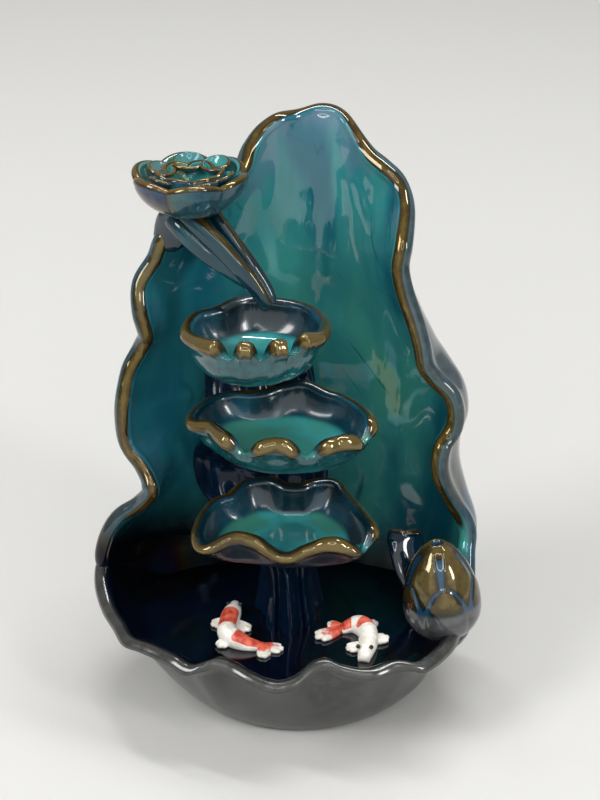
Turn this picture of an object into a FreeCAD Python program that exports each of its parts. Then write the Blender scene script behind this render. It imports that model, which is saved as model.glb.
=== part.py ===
"""Backflow incense burner: a glazed leaf with three ruffled cups, a lotus on top and two koi.

The burner is one hollow piece of fired clay. A tall leaf stands behind a round basin. A cone burns on
the lotus at the top left, its smoke sinks through a hole into a leaf-shaped spout, falls from cup to
cup and pools in the basin. A closed lotus bud on the right of the basin holds an incense stick. Two
painted koi are separate castings, glued flat on the basin floor.

Frame: millimetres, +Z up, the open side of the leaf faces -Y. The origin is the middle of the foot,
on the table.
"""
import FreeCAD, Part
import math
import os

Vector = FreeCAD.Vector
UP = Vector(0, 0, 1)
GROOVE_DEGREES = 34.0

doc = FreeCAD.newDocument("backflow_incense_burner")

# Driving dimensions

SIZES = {
    "foot_half_width": 37.0,
    "foot_half_depth": 36.0,
    "basin_floor_height": 28.0,
    "basin_depth": 9.0,
    "basin_half_width": 66.0,
    "basin_front_reach": 56.0,
    "basin_lip": 5.6,
    "base_wall": 4.5,
    "vent_hole_diameter": 9.0,
    "leaf_height": 196.0,
    "leaf_half_width": 60.0,
    "leaf_back": 34.0,
    "leaf_wall": 4.6,
    "leaf_lip": 5.6,
    "upper_cup_half_width": 22.5,
    "upper_cup_height": 140.0,
    "upper_cup_depth": 15.0,
    "middle_cup_half_width": 29.5,
    "middle_cup_height": 107.0,
    "middle_cup_depth": 13.0,
    "lower_cup_half_width": 29.0,
    "lower_cup_height": 70.0,
    "lower_cup_depth": 11.5,
    "cup_wall": 3.2,
    "cup_lip": 4.4,
    "stalk_half_width": 9.5,
    "lotus_height": 185.0,
    "lotus_radius": 18.0,
    "lotus_depth": 11.0,
    "petal_wall": 3.0,
    "cone_seat_radius": 9.0,
    "cone_seat_depth": 7.5,
    "cone_seat_wall": 2.6,
    "smoke_hole_diameter": 5.0,
    "spout_width": 11.0,
    "spill_height": 5.0,
    "bud_diameter": 25.6,
    "bud_height": 35.0,
    "bud_petal_rise": 0.9,
    "curled_leaf_height": 26.5,
    "stick_hole_diameter": 3.8,
    "stick_hole_depth": 22.0,
    "koi_length": 27.0,
    "koi_thickness": 6.0,
}

sheet = doc.addObject("Spreadsheet::Sheet", "sizes")
for row, (alias, value) in enumerate(SIZES.items(), start=1):
    sheet.set("A%d" % row, alias)
    sheet.set("B%d" % row, str(value))
    sheet.setAlias("B%d" % row, alias)
doc.recompute()


def size(alias):
    """The value of one named cell of the sheet, in millimetres."""
    return float(getattr(sheet, alias))


# Helpers for skins through rings of points

def turn(count):
    """Evenly spaced angles of one full turn, in radians."""
    return [2 * math.pi * i / count for i in range(count)]


def blend(a, b, share):
    """A value part of the way from a to b."""
    return a + (b - a) * share


def smooth_loop(points, count):
    """Evenly spaced points on the closed smooth curve through the given corner points."""
    curve = Part.BSplineCurve()
    curve.interpolate(Points=points, PeriodicFlag=True)
    return curve.discretize(Number=count + 1)[:count]


def skin(rings):
    """The closed solid whose skin follows the rings, with a flat face across its first and last."""
    degree = 3
    rows = len(rings)
    around = len(rings[0])
    surface = Part.BSplineSurface()
    surface.buildFromPolesMultsKnots(
        rings,
        [degree + 1] + [1] * (rows - degree - 1) + [degree + 1],
        [1] * (around + 1),
        [float(i) for i in range(rows - degree + 1)],
        [float(i) for i in range(around + 1)],
        False, True, degree, degree)
    side = surface.toShape()
    ends = [Part.Face(Part.Wire(edge)) for edge in side.Edges if edge.isClosed()]
    shell = Part.makeShell([side] + ends)
    shell.sewShape()
    solid = Part.Solid(shell)
    if solid.Volume < 0:
        solid.reverse()
    return solid


def normals(rings, away_from):
    """Unit normals of the surface through the rings, pointing away from the given point."""
    last = len(rings) - 1
    around = len(rings[0])
    result = []
    for k, ring in enumerate(rings):
        row = []
        for i, point in enumerate(ring):
            along = ring[(i + 1) % around] - ring[i - 1]
            across = rings[min(k + 1, last)][i] - rings[max(k - 1, 0)][i]
            normal = along.cross(across)
            normal.normalize()
            row.append(normal)
        result.append(row)
    middle = last // 2
    facing = sum(n.dot(p - away_from) for n, p in zip(result[middle], rings[middle]))
    if facing < 0:
        result = [[n * -1 for n in row] for row in result]
    return result


LIP_FULLNESS = 1.25
LIP_SPREAD = 1.15


def lip_rings(edge, outward, along, thickness):
    """Rings of the rolled edge: a half round from the outside over the crest to the inside."""
    radius = thickness / 2
    rings = []
    for degrees in (20, 55, 90, 125, 160):
        angle = math.radians(degrees)
        aside = radius * (1 + LIP_SPREAD * math.cos(angle))
        ahead = radius * LIP_FULLNESS * math.sin(angle)
        rings.append([point + out * aside + forward * ahead
                      for point, out, forward in zip(edge, outward, along)])
    return rings


def dish(inner, wall, lip, heart, base_normal):
    """A bowl of even wall with a rolled lip. inner holds the rings of its inside, from its flat floor
    to its rim, heart is a point inside the bowl, and base_normal points out of the floor's back."""
    outward = normals(inner, heart)
    rim = inner[-1]
    along = []
    for point, back in zip(rim, inner[-2]):
        step = point - back
        step.normalize()
        along.append(step)
    outer = [[p + base_normal * wall for p in inner[0]]]
    for ring, facing in zip(inner[1:-1], outward[1:-1]):
        outer.append([p + n * wall for p, n in zip(ring, facing)])
    shoulder = blend(wall, lip, 0.8)
    outer.append([p + n * shoulder for p, n in zip(rim, outward[-1])])
    return skin(outer + lip_rings(rim, outward[-1], along, lip) + inner[::-1])


def tube_rings(line, halves, groove=0.0, around=36):
    """Rings of an oval bar along a line of points, with a half width and half height at each. A groove
    along its top takes that share of the radius."""
    rings = []
    for k, middle in enumerate(line):
        ahead = line[min(k + 1, len(line) - 1)] - line[max(k - 1, 0)]
        ahead.normalize()
        side = UP.cross(ahead)
        side.normalize()
        top = ahead.cross(side)
        half_width, half_height = halves[k]
        ring = []
        for angle in turn(around):
            from_top = (math.degrees(angle) - 90 + 180) % 360 - 180
            reach = 1 - groove * math.exp(-(from_top / GROOVE_DEGREES) ** 2)
            ring.append(middle + side * (half_width * reach * math.cos(angle))
                        + top * (half_height * reach * math.sin(angle)))
        rings.append(ring)
    return rings


def route(start, end, shares, arch=0.0):
    """Points from start to end at shares of the way in x, y and z, lifted in an arch between them."""
    return [Vector(blend(start.x, end.x, x), blend(start.y, end.y, y),
                   blend(start.z, end.z, z) + arch * math.sin(math.pi * y)) for x, y, z in shares]


def feature(name, shape):
    """Put a shape made from the sheet's sizes into the document."""
    item = doc.addObject("Part::Feature", name)
    item.Shape = shape
    return item


# Leaf: a tall cupped blade whose edge rolls forward all round

AROUND_LEAF = 80
# Crest of the leaf's edge, as shares of the half width, millimetres in front of the back, and shares of
# the height. It runs from the lower left up the left edge, over the tip, down the right edge and under.
LEAF_EDGE = [
    (-1.06, 30, 0.14), (-1.12, 35, 0.195), (-1.135, 37, 0.23), (-1.10, 36.5, 0.27), (-1.035, 36, 0.30),
    (-0.93, 36, 0.325), (-0.85, 38, 0.36), (-0.85, 38, 0.39), (-0.91, 34, 0.42), (-0.99, 31, 0.45),
    (-1.00, 32, 0.50), (-0.985, 32, 0.545), (-0.955, 29, 0.585), (-0.89, 27, 0.62), (-0.84, 30, 0.66),
    (-0.86, 32, 0.71), (-0.86, 29, 0.75), (-0.78, 26, 0.785), (-0.71, 27, 0.83), (-0.53, 19, 0.865),
    (-0.30, 11, 0.915), (-0.24, 7, 0.95), (-0.18, 4, 0.975), (-0.10, 2, 0.99), (0.0, -1, 0.995),
    (0.11, -3, 1.005), (0.20, -2, 1.0), (0.26, 1, 0.98), (0.34, 5, 0.94), (0.435, 10, 0.92),
    (0.52, 14, 0.90), (0.55, 20, 0.875), (0.535, 28, 0.83), (0.52, 30, 0.79), (0.555, 32, 0.745),
    (0.62, 34, 0.695), (0.665, 35, 0.655), (0.70, 36, 0.615), (0.775, 35, 0.58), (0.86, 36, 0.55),
    (0.875, 37, 0.51), (0.81, 41, 0.48), (0.79, 42, 0.44), (0.81, 42, 0.40), (0.89, 38, 0.34),
    (0.96, 38, 0.295), (0.95, 42, 0.26), (0.94, 48, 0.21), (0.93, 51, 0.15), (0.86, 48, 0.095),
    (0.70, 38, 0.05), (0.40, 18, 0.03), (0.0, 7, 0.024), (-0.38, 12, 0.03), (-0.70, 20, 0.055),
    (-0.94, 26, 0.095),
]
LEAF_RING_SHARES = (0.0, 0.22, 0.42, 0.60, 0.76, 0.89, 1.0)
LEAF_MIDDLE_X_SHARE = -0.033
LEAF_FLAT_WIDTH_SHARE = 0.05
LEAF_FLAT_HEIGHT_SHARE = 0.20
LEAF_LEAN = 0.03
LEAF_CUPPING = 1.8
LEFT_CURL = 0.6
RIGHT_CURL = 1.9
LIP_INSET = 0.55
LIP_SETBACK = 0.45


def leaf_inner_rings():
    """Rings of the leaf's inside, from a narrow flat on its back to the root of its lip."""
    half_width = size("leaf_half_width")
    height = size("leaf_height")
    back = size("leaf_back")
    lip = size("leaf_lip")
    middle = Vector(LEAF_MIDDLE_X_SHARE * half_width, back, height / 2)
    edge = smooth_loop([Vector(x * half_width, back - y, z * height) for x, y, z in LEAF_EDGE], AROUND_LEAF)
    rings = []
    for share in LEAF_RING_SHARES:
        ring = []
        for crest in edge:
            angle = math.atan2(crest.z - middle.z, crest.x - middle.x)
            start = Vector(middle.x + LEAF_FLAT_WIDTH_SHARE * half_width * math.cos(angle), 0,
                           middle.z + LEAF_FLAT_HEIGHT_SHARE * height * math.sin(angle))
            inward = Vector(middle.x - crest.x, 0, middle.z - crest.z)
            inward.normalize()
            rim = crest + inward * (LIP_INSET * lip) + Vector(0, LIP_SETBACK * lip, 0)
            curl = blend(LEFT_CURL, RIGHT_CURL, max(0.0, math.cos(angle)) ** 1.5)
            reach = share * (1 + curl * (1 - share))
            x = blend(start.x, rim.x, reach)
            z = blend(start.z, rim.z, reach)
            plane = back + LEAF_LEAN * (z - middle.z)
            rim_plane = back + LEAF_LEAN * (rim.z - middle.z)
            ring.append(Vector(x, plane + (rim.y - rim_plane) * share ** LEAF_CUPPING, z))
        rings.append(ring)
    return rings


leaf_heart = Vector(0, 0, size("leaf_height") / 2)
leaf = feature("leaf_blade", dish(leaf_inner_rings(), size("leaf_wall"), size("leaf_lip"), leaf_heart,
                                  Vector(0, 1, -LEAF_LEAN)))

# Basin: a shallow round bowl on a rounded base, with a ruffled front edge

AROUND_BASIN = 96
# Crest of the basin's edge, as shares of its half width and of its front reach, with its rise in
# millimetres. It runs from the left round the front to the right, then low behind the leaf.
BASIN_EDGE = [
    (-1.03, 0.06, 8.0), (-1.035, -0.10, 4.0), (-0.985, -0.28, 0.0), (-0.915, -0.45, -1.0),
    (-0.855, -0.60, -1.5), (-0.765, -0.68, -1.0), (-0.68, -0.75, -1.0), (-0.61, -0.82, -1.0),
    (-0.54, -0.875, -2.0), (-0.47, -0.885, -0.5), (-0.40, -0.86, 0.0), (-0.325, -0.885, -1.0),
    (-0.25, -0.945, -2.0), (-0.175, -0.99, -3.0), (-0.11, -1.005, -3.5), (-0.05, -0.99, -3.2),
    (0.0, -0.955, -2.2), (0.06, -0.90, 0.0), (0.13, -0.88, 0.5), (0.20, -0.915, -0.5),
    (0.28, -0.94, -1.0), (0.35, -0.94, -1.0), (0.425, -0.90, -0.5), (0.50, -0.885, 0.0),
    (0.575, -0.88, -1.0), (0.63, -0.83, -1.0), (0.69, -0.73, -1.5), (0.75, -0.59, -2.0),
    (0.79, -0.39, -2.0), (0.80, -0.14, -3.0), (0.78, 0.12, -5.0), (0.66, 0.36, -8.0),
    (0.38, 0.49, -9.0), (0.0, 0.52, -10.0), (-0.42, 0.49, -9.0), (-0.76, 0.40, -6.0),
    (-0.95, 0.24, 4.0),
]
BASIN_CENTRE = Vector(-4, -6, 0)
BASIN_OUTER_SHARES = (0.0, 0.012, 0.07, 0.22, 0.42, 0.64, 0.86)
BASIN_INNER_SHARES = (0.94, 0.66, 0.33, 0.0)
BASE_SPREAD = 0.62
BASE_REACH = 0.97
FLOOR_SHARE = 0.84
CALM_NEIGHBOURS = 7
# The base is wrapped on its right by the leaf's lower edge, a low ridge that leans forward as it sinks
WRAP_RISE = 2.4
WRAP_DEGREES = -52.0
WRAP_SWEEP_DEGREES = 34.0
WRAP_SOFT_DEGREES = 4.0


def basin_edge():
    """Evenly spaced points on the crest of the basin's edge."""
    half_width = size("basin_half_width")
    reach = size("basin_front_reach")
    height = size("basin_floor_height") + size("basin_depth")
    return smooth_loop([Vector(x * half_width, y * reach, height + rise) for x, y, rise in BASIN_EDGE],
                       AROUND_BASIN)


def wrap_rise(angle, share):
    """How far the base stands out at an angle and a share of its height where the leaf wraps it."""
    if abs(angle) > math.radians(126):
        return 0.0
    past = math.degrees(angle) - WRAP_DEGREES - WRAP_SWEEP_DEGREES * share
    return WRAP_RISE * min(1, 3 * share) / (1 + math.exp(-past / WRAP_SOFT_DEGREES))


def basin_rings():
    """Rings of the basin's skin, from the foot up the outside, over the lip and down to the floor."""
    floor = size("basin_floor_height")
    lip = size("basin_lip")
    edge = basin_edge()
    outer = [[] for share in BASIN_OUTER_SHARES]
    crests = [[], [], [], []]
    inner = [[] for share in BASIN_INNER_SHARES]
    for i, crest in enumerate(edge):
        near = [edge[(i + step) % AROUND_BASIN] for step in range(-CALM_NEIGHBOURS, CALM_NEIGHBOURS + 1)]
        calm = Vector(sum(p.x for p in near) / len(near), sum(p.y for p in near) / len(near), 0)
        angle = math.atan2(crest.y, crest.x)
        foot = Vector(size("foot_half_width") * math.cos(angle),
                      size("foot_half_depth") * math.sin(angle), 0)
        flat = Vector(crest.x, crest.y, 0)
        inward = BASIN_CENTRE - flat
        inward.normalize()
        for k, share in enumerate(BASIN_OUTER_SHARES):
            lobed = blend(calm, flat, share ** 2)
            out = blend(foot, lobed, BASE_REACH * share ** BASE_SPREAD) - inward * wrap_rise(angle, share)
            outer[k].append(Vector(out.x, out.y, share * crest.z))
        for k, degrees in enumerate((15, 60, 105, 150)):
            turned = math.radians(degrees)
            crests[k].append(crest - inward * (LIP_INSET * lip * math.cos(turned))
                             + UP * (lip / 2 * (1.2 * math.sin(turned) - 1)))
        root = flat + inward * (0.62 * lip)
        bottom = blend(BASIN_CENTRE, root, FLOOR_SHARE)
        for k, share in enumerate(BASIN_INNER_SHARES):
            place = blend(bottom, root, share)
            rise = (crest.z - 0.8 * lip - floor) * share ** 1.7
            inner[k].append(Vector(place.x, place.y, floor + rise))
    return outer + crests + inner


basin = feature("basin_bowl", skin(basin_rings()))
CAVITY_LEVELS = (0.0, 0.25, 0.6, 1.0)
AROUND_CAVITY = 48


def cavity_rings():
    """Rings of the hollow under the basin floor, one wall inside the base."""
    wall = size("base_wall")
    top = size("basin_floor_height") - wall
    rings = []
    for share in CAVITY_LEVELS:
        half_width = size("foot_half_width") * (0.86 + 0.22 * share) - wall
        half_depth = size("foot_half_depth") * (0.86 + 0.06 * share) - wall
        height = blend(wall, top, share)
        rings.append([Vector(half_width * math.cos(angle), half_depth * math.sin(angle), height)
                      for angle in turn(AROUND_CAVITY)])
    return rings


cavity = feature("base_cavity", skin(cavity_rings()))

vent = doc.addObject("Part::Cylinder", "vent_hole")
vent.setExpression("Radius", "sizes.vent_hole_diameter / 2")
vent.setExpression("Height", "sizes.base_wall * 3")
vent.setExpression("Placement.Base.y", "sizes.foot_half_depth * 0.4")
vent.setExpression("Placement.Base.z", "-sizes.base_wall")

# Cups: three leaves that hold the smoke, each with low notches where it spills over the lip

# For each cup its middle, as a distance right of the origin and in front of the leaf's back, and the
# crest of its rim, as shares of its half width from that middle and millimetres above its height. Each
# rim runs from its right end round the back to the left and along the front.
CUPS = {
    "upper_cup": (-14.6, 45.0, [
        (1.00, 0.04, 0.0), (0.92, 0.38, 0.3), (0.78, 0.59, 0.8), (0.55, 0.74, 1.0),
        (0.24, 0.82, 1.2), (-0.04, 0.86, 1.6), (-0.29, 0.76, 1.5), (-0.51, 0.55, 0.8),
        (-0.69, 0.44, 0.5), (-0.85, 0.34, 0.5), (-0.94, 0.04, 0.4), (-0.92, -0.28, 0.2),
        (-0.69, -0.60, 0.6), (-0.52, -0.77, 0.2), (-0.37, -0.91, -1.5), (-0.12, -0.83, 1.5),
        (0.13, -0.85, -1.3), (0.33, -0.73, 1.5), (0.58, -0.69, -1.3), (0.76, -0.49, 0.8),
        (0.93, -0.32, 0.3),
    ]),
    "middle_cup": (-6.4, 42.5, [
        (0.99, -0.27, 0.0), (0.93, 0.07, 0.4), (0.75, 0.35, 1.0), (0.56, 0.47, 1.3),
        (0.29, 0.63, 3.0), (0.05, 0.63, 2.0), (-0.17, 0.53, 1.0), (-0.41, 0.47, 0.8),
        (-0.68, 0.47, 0.8), (-0.87, 0.29, 0.5), (-0.99, -0.07, 0.2), (-0.78, -0.26, 0.9),
        (-0.63, -0.49, 1.0), (-0.51, -0.68, 0.4), (-0.42, -0.75, -1.4), (-0.29, -0.72, 0.1),
        (-0.06, -0.62, 1.9), (0.12, -0.69, 1.2), (0.21, -0.78, -0.7), (0.33, -0.83, -1.6),
        (0.49, -0.71, -0.4), (0.63, -0.61, 0.8), (0.75, -0.57, 0.9), (0.95, -0.53, 0.0),
    ]),
    "lower_cup": (-5.2, 42.0, [
        (0.99, -0.45, 0.0), (0.92, -0.12, 0.4), (0.83, 0.13, 0.9), (0.70, 0.38, 1.9),
        (0.62, 0.53, 3.5), (0.43, 0.54, 3.2), (0.27, 0.47, 2.4), (-0.02, 0.49, 2.4),
        (-0.19, 0.59, 3.2), (-0.34, 0.61, 3.2), (-0.50, 0.55, 2.6), (-0.67, 0.29, 1.5),
        (-0.83, 0.20, 1.0), (-0.93, -0.02, 0.6), (-0.98, -0.29, 0.4), (-0.99, -0.50, 0.1),
        (-0.93, -0.66, -0.5), (-0.72, -0.60, 1.0), (-0.58, -0.60, 1.8), (-0.43, -0.65, 1.8),
        (-0.28, -0.71, 1.3), (-0.15, -0.78, -0.2), (0.02, -0.85, -1.2), (0.20, -0.78, -0.6),
        (0.34, -0.74, 0.0), (0.48, -0.72, 1.0), (0.62, -0.71, 1.3), (0.76, -0.70, 0.3),
        (0.92, -0.71, -1.4),
    ]),
}
AROUND_CUP = 72
CUP_RING_SHARES = (0.0, 0.30, 0.56, 0.78, 1.0)
CUP_FLOOR_SHARE = 0.24


def cup_middle(name):
    """The point above the cup's middle, level with its rim."""
    right, in_front, edge = CUPS[name]
    return Vector(right, size("leaf_back") - in_front, size(name + "_height"))


def cup_inner_rings(name):
    """Rings of a cup's inside, from its small flat floor to the root of its lip."""
    middle = cup_middle(name)
    half_width = size(name + "_half_width")
    lip = size("cup_lip")
    floor_height = middle.z - LIP_INSET * lip - size(name + "_depth")
    edge = CUPS[name][2]
    crests = smooth_loop([middle + Vector(x * half_width, y * half_width, rise) for x, y, rise in edge],
                         AROUND_CUP)
    rings = []
    for share in CUP_RING_SHARES:
        ring = []
        for crest in crests:
            inward = Vector(middle.x - crest.x, middle.y - crest.y, 0)
            inward.normalize()
            rim = crest + inward * (LIP_INSET * lip) - UP * (LIP_INSET * lip)
            floor = Vector(blend(middle.x, rim.x, CUP_FLOOR_SHARE),
                           blend(middle.y, rim.y, CUP_FLOOR_SHARE), 0)
            place = blend(floor, rim, share * (1 + 0.35 * (1 - share)))
            ring.append(Vector(place.x, place.y, floor_height + (rim.z - floor_height) * share ** 1.9))
        rings.append(ring)
    return rings


def bowl_core(inner, wall):
    """A solid that fills a bowl out to the middle of its wall, to clear it of what passes behind."""
    last = inner[-1]
    raised = [p + Vector(0, 0, 3 * wall) for p in last]
    rings = [[p - Vector(0, 0, wall / 2) for p in inner[0]]]
    heart = Vector(sum(p.x for p in last) / len(last), sum(p.y for p in last) / len(last), last[0].z)
    outward = normals(inner, heart)
    for ring, facing in zip(inner[1:], outward[1:]):
        rings.append([p + n * (wall / 2) for p, n in zip(ring, facing)])
    top = max(p.z for p in raised)
    rings.append(raised)
    rings.append([Vector(p.x, p.y, top) for p in raised])
    return skin(rings)


cups = []
cores = []
for name in CUPS:
    inside = cup_inner_rings(name)
    cups.append(feature(name, dish(inside, size("cup_wall"), size("cup_lip"), cup_middle(name), UP * -1)))
    cores.append(feature(name + "_core", bowl_core(inside, size("cup_wall"))))

# Stalk: a fluted stem from the basin floor, behind the cups, to the lotus

AROUND_STALK = 54
FLUTES = 9
FLUTE_DEPTH = 0.09
FLUTE_TWIST = 0.03
# Level, middle x, distance in front of the leaf's back, share of the half width, and half depth of the
# stalk's sections. A level counts 0 at the basin floor and 1, 2 and 3 at the three cups, from the lowest.
STALK = [
    (-0.08, -4, 28, 1.25, 27), (0.05, -4, 28, 1.15, 27), (0.33, -4, 27, 0.95, 26), (0.60, -5, 25, 1.10, 24),
    (0.81, -12, 15, 2.1, 15), (1.13, -14, 10, 2.4, 11), (1.49, -13, 19, 1.9, 18), (1.76, -13, 14, 1.9, 14),
    (2.09, -14, 10, 1.8, 11), (2.33, -15, 22, 1.5, 20), (2.55, -15, 19, 1.4, 18), (2.73, -15, 9, 1.0, 9),
]


def level_height(level):
    """The height of a level, evenly between the basin floor and the cups on either side of it."""
    marks = [size("basin_floor_height"), size("lower_cup_height"), size("middle_cup_height"),
             size("upper_cup_height")]
    below = min(max(int(level), 0), len(marks) - 2)
    return blend(marks[below], marks[below + 1], level - below)


def stalk_rings():
    """Level rings of the fluted stalk."""
    rings = []
    for level, x, in_front, width, depth in STALK:
        height = level_height(level)
        half_width = width * size("stalk_half_width")
        ring = []
        for angle in turn(AROUND_STALK):
            flute = 1 + FLUTE_DEPTH * math.cos(FLUTES * angle + FLUTE_TWIST * height)
            ring.append(Vector(x + half_width * flute * math.cos(angle),
                               size("leaf_back") - in_front + depth * flute * math.sin(angle), height))
        rings.append(ring)
    return rings


stalk = feature("stalk", skin(stalk_rings()))

# Lotus: an open flower on the stalk, with a ring of outer petals and a small inner cup for the cone

AROUND_LOTUS = 64
LOTUS_RING_SHARES = (0.0, 0.35, 0.65, 0.85, 1.0)
LOTUS_X_SHARE = -0.575
LOTUS_IN_FRONT = 31.0
PETAL_LIP = 1.13
PETALS = 6
NOTCH_DROP = 2.2
lotus_middle = Vector(LOTUS_X_SHARE * size("leaf_half_width"), size("leaf_back") - LOTUS_IN_FRONT,
                      size("lotus_height"))


def petal_rings(radius, depth, first, floor_share, ruffle):
    """Rings of the inside of a petalled bowl whose rim is level with the top of the lotus. first is the
    angle of one petal's middle, in degrees."""
    rings = []
    for share in LOTUS_RING_SHARES:
        ring = []
        for angle in turn(AROUND_LOTUS):
            petal = abs(math.cos(PETALS * (angle - math.radians(first)) / 2)) ** 0.7
            reach = radius * (1 - ruffle * share * (1 - petal))
            place = reach * blend(floor_share, 1.0, share * (1 + 0.4 * (1 - share)))
            rise = (depth - NOTCH_DROP * (1 - petal)) * share ** 1.6
            ring.append(lotus_middle
                        + Vector(place * math.cos(angle), place * math.sin(angle), rise - depth))
        rings.append(ring)
    return rings


petal_wall = size("petal_wall")
seat_wall = size("cone_seat_wall")
outer_petals = petal_rings(size("lotus_radius") - 0.75 * petal_wall, size("lotus_depth"), -81, 0.36, 0.15)
flower = feature("flower", dish(outer_petals, petal_wall, PETAL_LIP * petal_wall, lotus_middle, UP * -1))
inner_petals = petal_rings(size("cone_seat_radius"), size("cone_seat_depth"), -51, 0.6, 0.16)
cone_seat = feature("cone_seat", dish(inner_petals, seat_wall, PETAL_LIP * seat_wall,
                                      lotus_middle, UP * -1))

# Spout: a folded leaf that carries the smoke from the lotus down to the upper cup

lotus_foot = lotus_middle - UP * (size("lotus_depth") + petal_wall)
spill_point = (cup_middle("upper_cup") + Vector(0.23, 0.1, 0) * size("upper_cup_half_width")
               + UP * size("spill_height"))
spout_start = lotus_foot + Vector(-0.5, 5, 0)
SPOUT_SHARES = [(0, 0, 0), (0.16, 0.24, 0.10), (0.31, 0.42, 0.21), (0.51, 0.60, 0.39), (0.71, 0.77, 0.58),
                (0.86, 0.89, 0.77), (0.96, 0.97, 0.92), (1, 1, 1)]
SPOUT_WIDTHS = (1.35, 1.25, 1.1, 0.95, 0.82, 0.72, 0.62, 0.5)
SPOUT_GROOVE = 0.69
spout_halves = [(width * 0.525 * size("spout_width"), width * 0.5 * size("spout_width"))
                for width in SPOUT_WIDTHS]
spout_line = route(spout_start, spill_point, SPOUT_SHARES)
spout = feature("spout", skin(tube_rings(spout_line, spout_halves, SPOUT_GROOVE)))

# Webs: two folds of leaf that hold the lotus and the spout to the big leaf

leaf_left = Vector(-0.55 * size("leaf_half_width"), size("leaf_back") - 11, 0.796 * size("leaf_height"))
under_spout = Vector(blend(spout_start.x, spill_point.x, 0.74), blend(spout_start.y, spill_point.y, 0.80),
                     blend(spout_start.z, spill_point.z, 0.62))
spout_web = feature("spout_web", skin(tube_rings(
    route(leaf_left, under_spout,
          [(0, 0, 0), (0.06, 0.10, 0), (0.18, 0.32, 0), (0.32, 0.56, 0), (0.53, 0.77, 0.2),
           (0.76, 0.91, 0.6), (1, 1, 1)], 6.5),
    [(4, 7), (5, 8), (5.5, 8), (5.5, 6), (4.5, 4.5), (3, 2.6), (2, 1.6)])))
leaf_far_left = Vector(-0.75 * size("leaf_half_width"), size("leaf_back") - 23, 0.811 * size("leaf_height"))
side_web = feature("side_web", skin(tube_rings(
    route(leaf_far_left, lotus_foot + Vector(-0.5, 1, 1), [(0, 0, 0), (0.18, 0.2, 0.19), (0.42, 0.5, 0.46),
                                                           (0.76, 0.86, 0.77), (1, 1, 1)]),
    [(2, 4), (2.4, 6), (3, 7), (4, 6), (4, 4)])))

# Bud: a closed lotus on the right of the basin, bored for an incense stick

AROUND_BUD = 60
bud_foot = Vector(0.75 * size("basin_half_width"), -0.375 * size("basin_front_reach"),
                  size("basin_floor_height"))
bud_axis = Vector(-3.7, 3, 34)
bud_axis.normalize()
# Shares of the bud's height and of its radius
BUD_PROFILE = [
    (0.0, 0.30), (0.06, 0.62), (0.16, 0.86), (0.28, 0.98), (0.42, 1.0), (0.56, 0.95), (0.70, 0.84),
    (0.82, 0.68), (0.91, 0.50), (0.97, 0.36), (1.0, 0.24),
]
BUD_PETALS = 5


def petal_cover(angle, share, first, top, half_width):
    """How far a petal stands out at an angle and a share of the height: one on it, none beside it."""
    if share >= top:
        return 0.0
    half = half_width * math.sqrt(1 - (share / top) ** 2)
    apart = (math.degrees(angle) - first + 180) % 360 - 180
    return 1 / (1 + math.exp((abs(apart) - half) / 4))


def bud_rings():
    """Rings of the bud across its leaning axis, with two rows of overlapping petals in low relief."""
    side = Vector(0, 1, 0).cross(bud_axis)
    side.normalize()
    front = bud_axis.cross(side)
    petal_rise = size("bud_petal_rise")
    radius = size("bud_diameter") / 2 - petal_rise / 2
    rings = []
    for share, width in BUD_PROFILE:
        middle = bud_foot + bud_axis * (share * size("bud_height"))
        ring = []
        for angle in turn(AROUND_BUD):
            rise = 0.0
            for k in range(BUD_PETALS):
                first = 360 / BUD_PETALS * k - 84
                rise = max(rise, petal_cover(angle, share, first, 0.80, 33))
                rise = max(rise, 0.55 * petal_cover(angle, share, first + 36, 0.93, 30))
            reach = width * radius + petal_rise * rise * min(1, 4 * share)
            ring.append(middle + side * (reach * math.cos(angle)) + front * (reach * math.sin(angle)))
        rings.append(ring)
    return rings


bud = feature("bud", skin(bud_rings()))
seat_half = 0.31 * size("bud_diameter")
bud_seat = feature("bud_seat", skin(tube_rings(
    route(bud_foot + Vector(-3.5, 1, -3), bud_foot + Vector(0, 0, 5),
          [(0, 0, 0), (0.3, 0.3, 0.3), (0.65, 0.65, 0.65), (1, 1, 1)]),
    [(seat_half / 2, seat_half / 2), (0.75 * seat_half, 0.75 * seat_half), (seat_half, seat_half),
     (seat_half, seat_half)])))
curl_foot = Vector(0.667 * size("basin_half_width"), size("leaf_back") - 38, size("basin_floor_height"))
curl_top = Vector(0.553 * size("basin_half_width"), size("leaf_back") - 29,
                  curl_foot.z + size("curled_leaf_height"))
curled_leaf = feature("curled_leaf", skin(tube_rings(
    route(curl_foot, curl_top, [(0, 0, 0), (0.27, 0.11, 0.26), (0.6, 0.33, 0.53), (0.87, 0.67, 0.755),
                                (1, 0.89, 0.905), (1, 1, 1)]),
    [(7, 4), (7.5, 3.6), (7.5, 3.0), (6.5, 2.6), (5, 2.2), (3, 1.4)])))

# Bores: the stick hole in the bud and the smoke's way from the cone seat to the spout


def bore(name, base, axis, diameter, depth):
    """A round hole from base along axis, bound to the sheet's diameter and depth."""
    hole = doc.addObject("Part::Cylinder", name)
    hole.setExpression("Radius", diameter + " / 2")
    hole.setExpression("Height", depth)
    hole.Placement = FreeCAD.Placement(base, FreeCAD.Rotation(UP, axis))
    return hole


bud_top = bud_foot + bud_axis * size("bud_height")
stick_hole = bore("stick_hole", bud_top - bud_axis * size("stick_hole_depth"), bud_axis,
                  "sizes.stick_hole_diameter", "sizes.stick_hole_depth + 1")
smoke_well = bore("smoke_well", lotus_foot - UP * 2, UP, "sizes.smoke_hole_diameter",
                  "sizes.lotus_depth + sizes.petal_wall")
smoke_passage = bore("smoke_passage", lotus_foot + Vector(-1.5, 1, 0.5), Vector(8, -4, -4.6),
                     "sizes.smoke_hole_diameter", "sizes.lotus_depth + 1")

# The one piece of fired clay: each part is hollowed or bored, then all are fused


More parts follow.
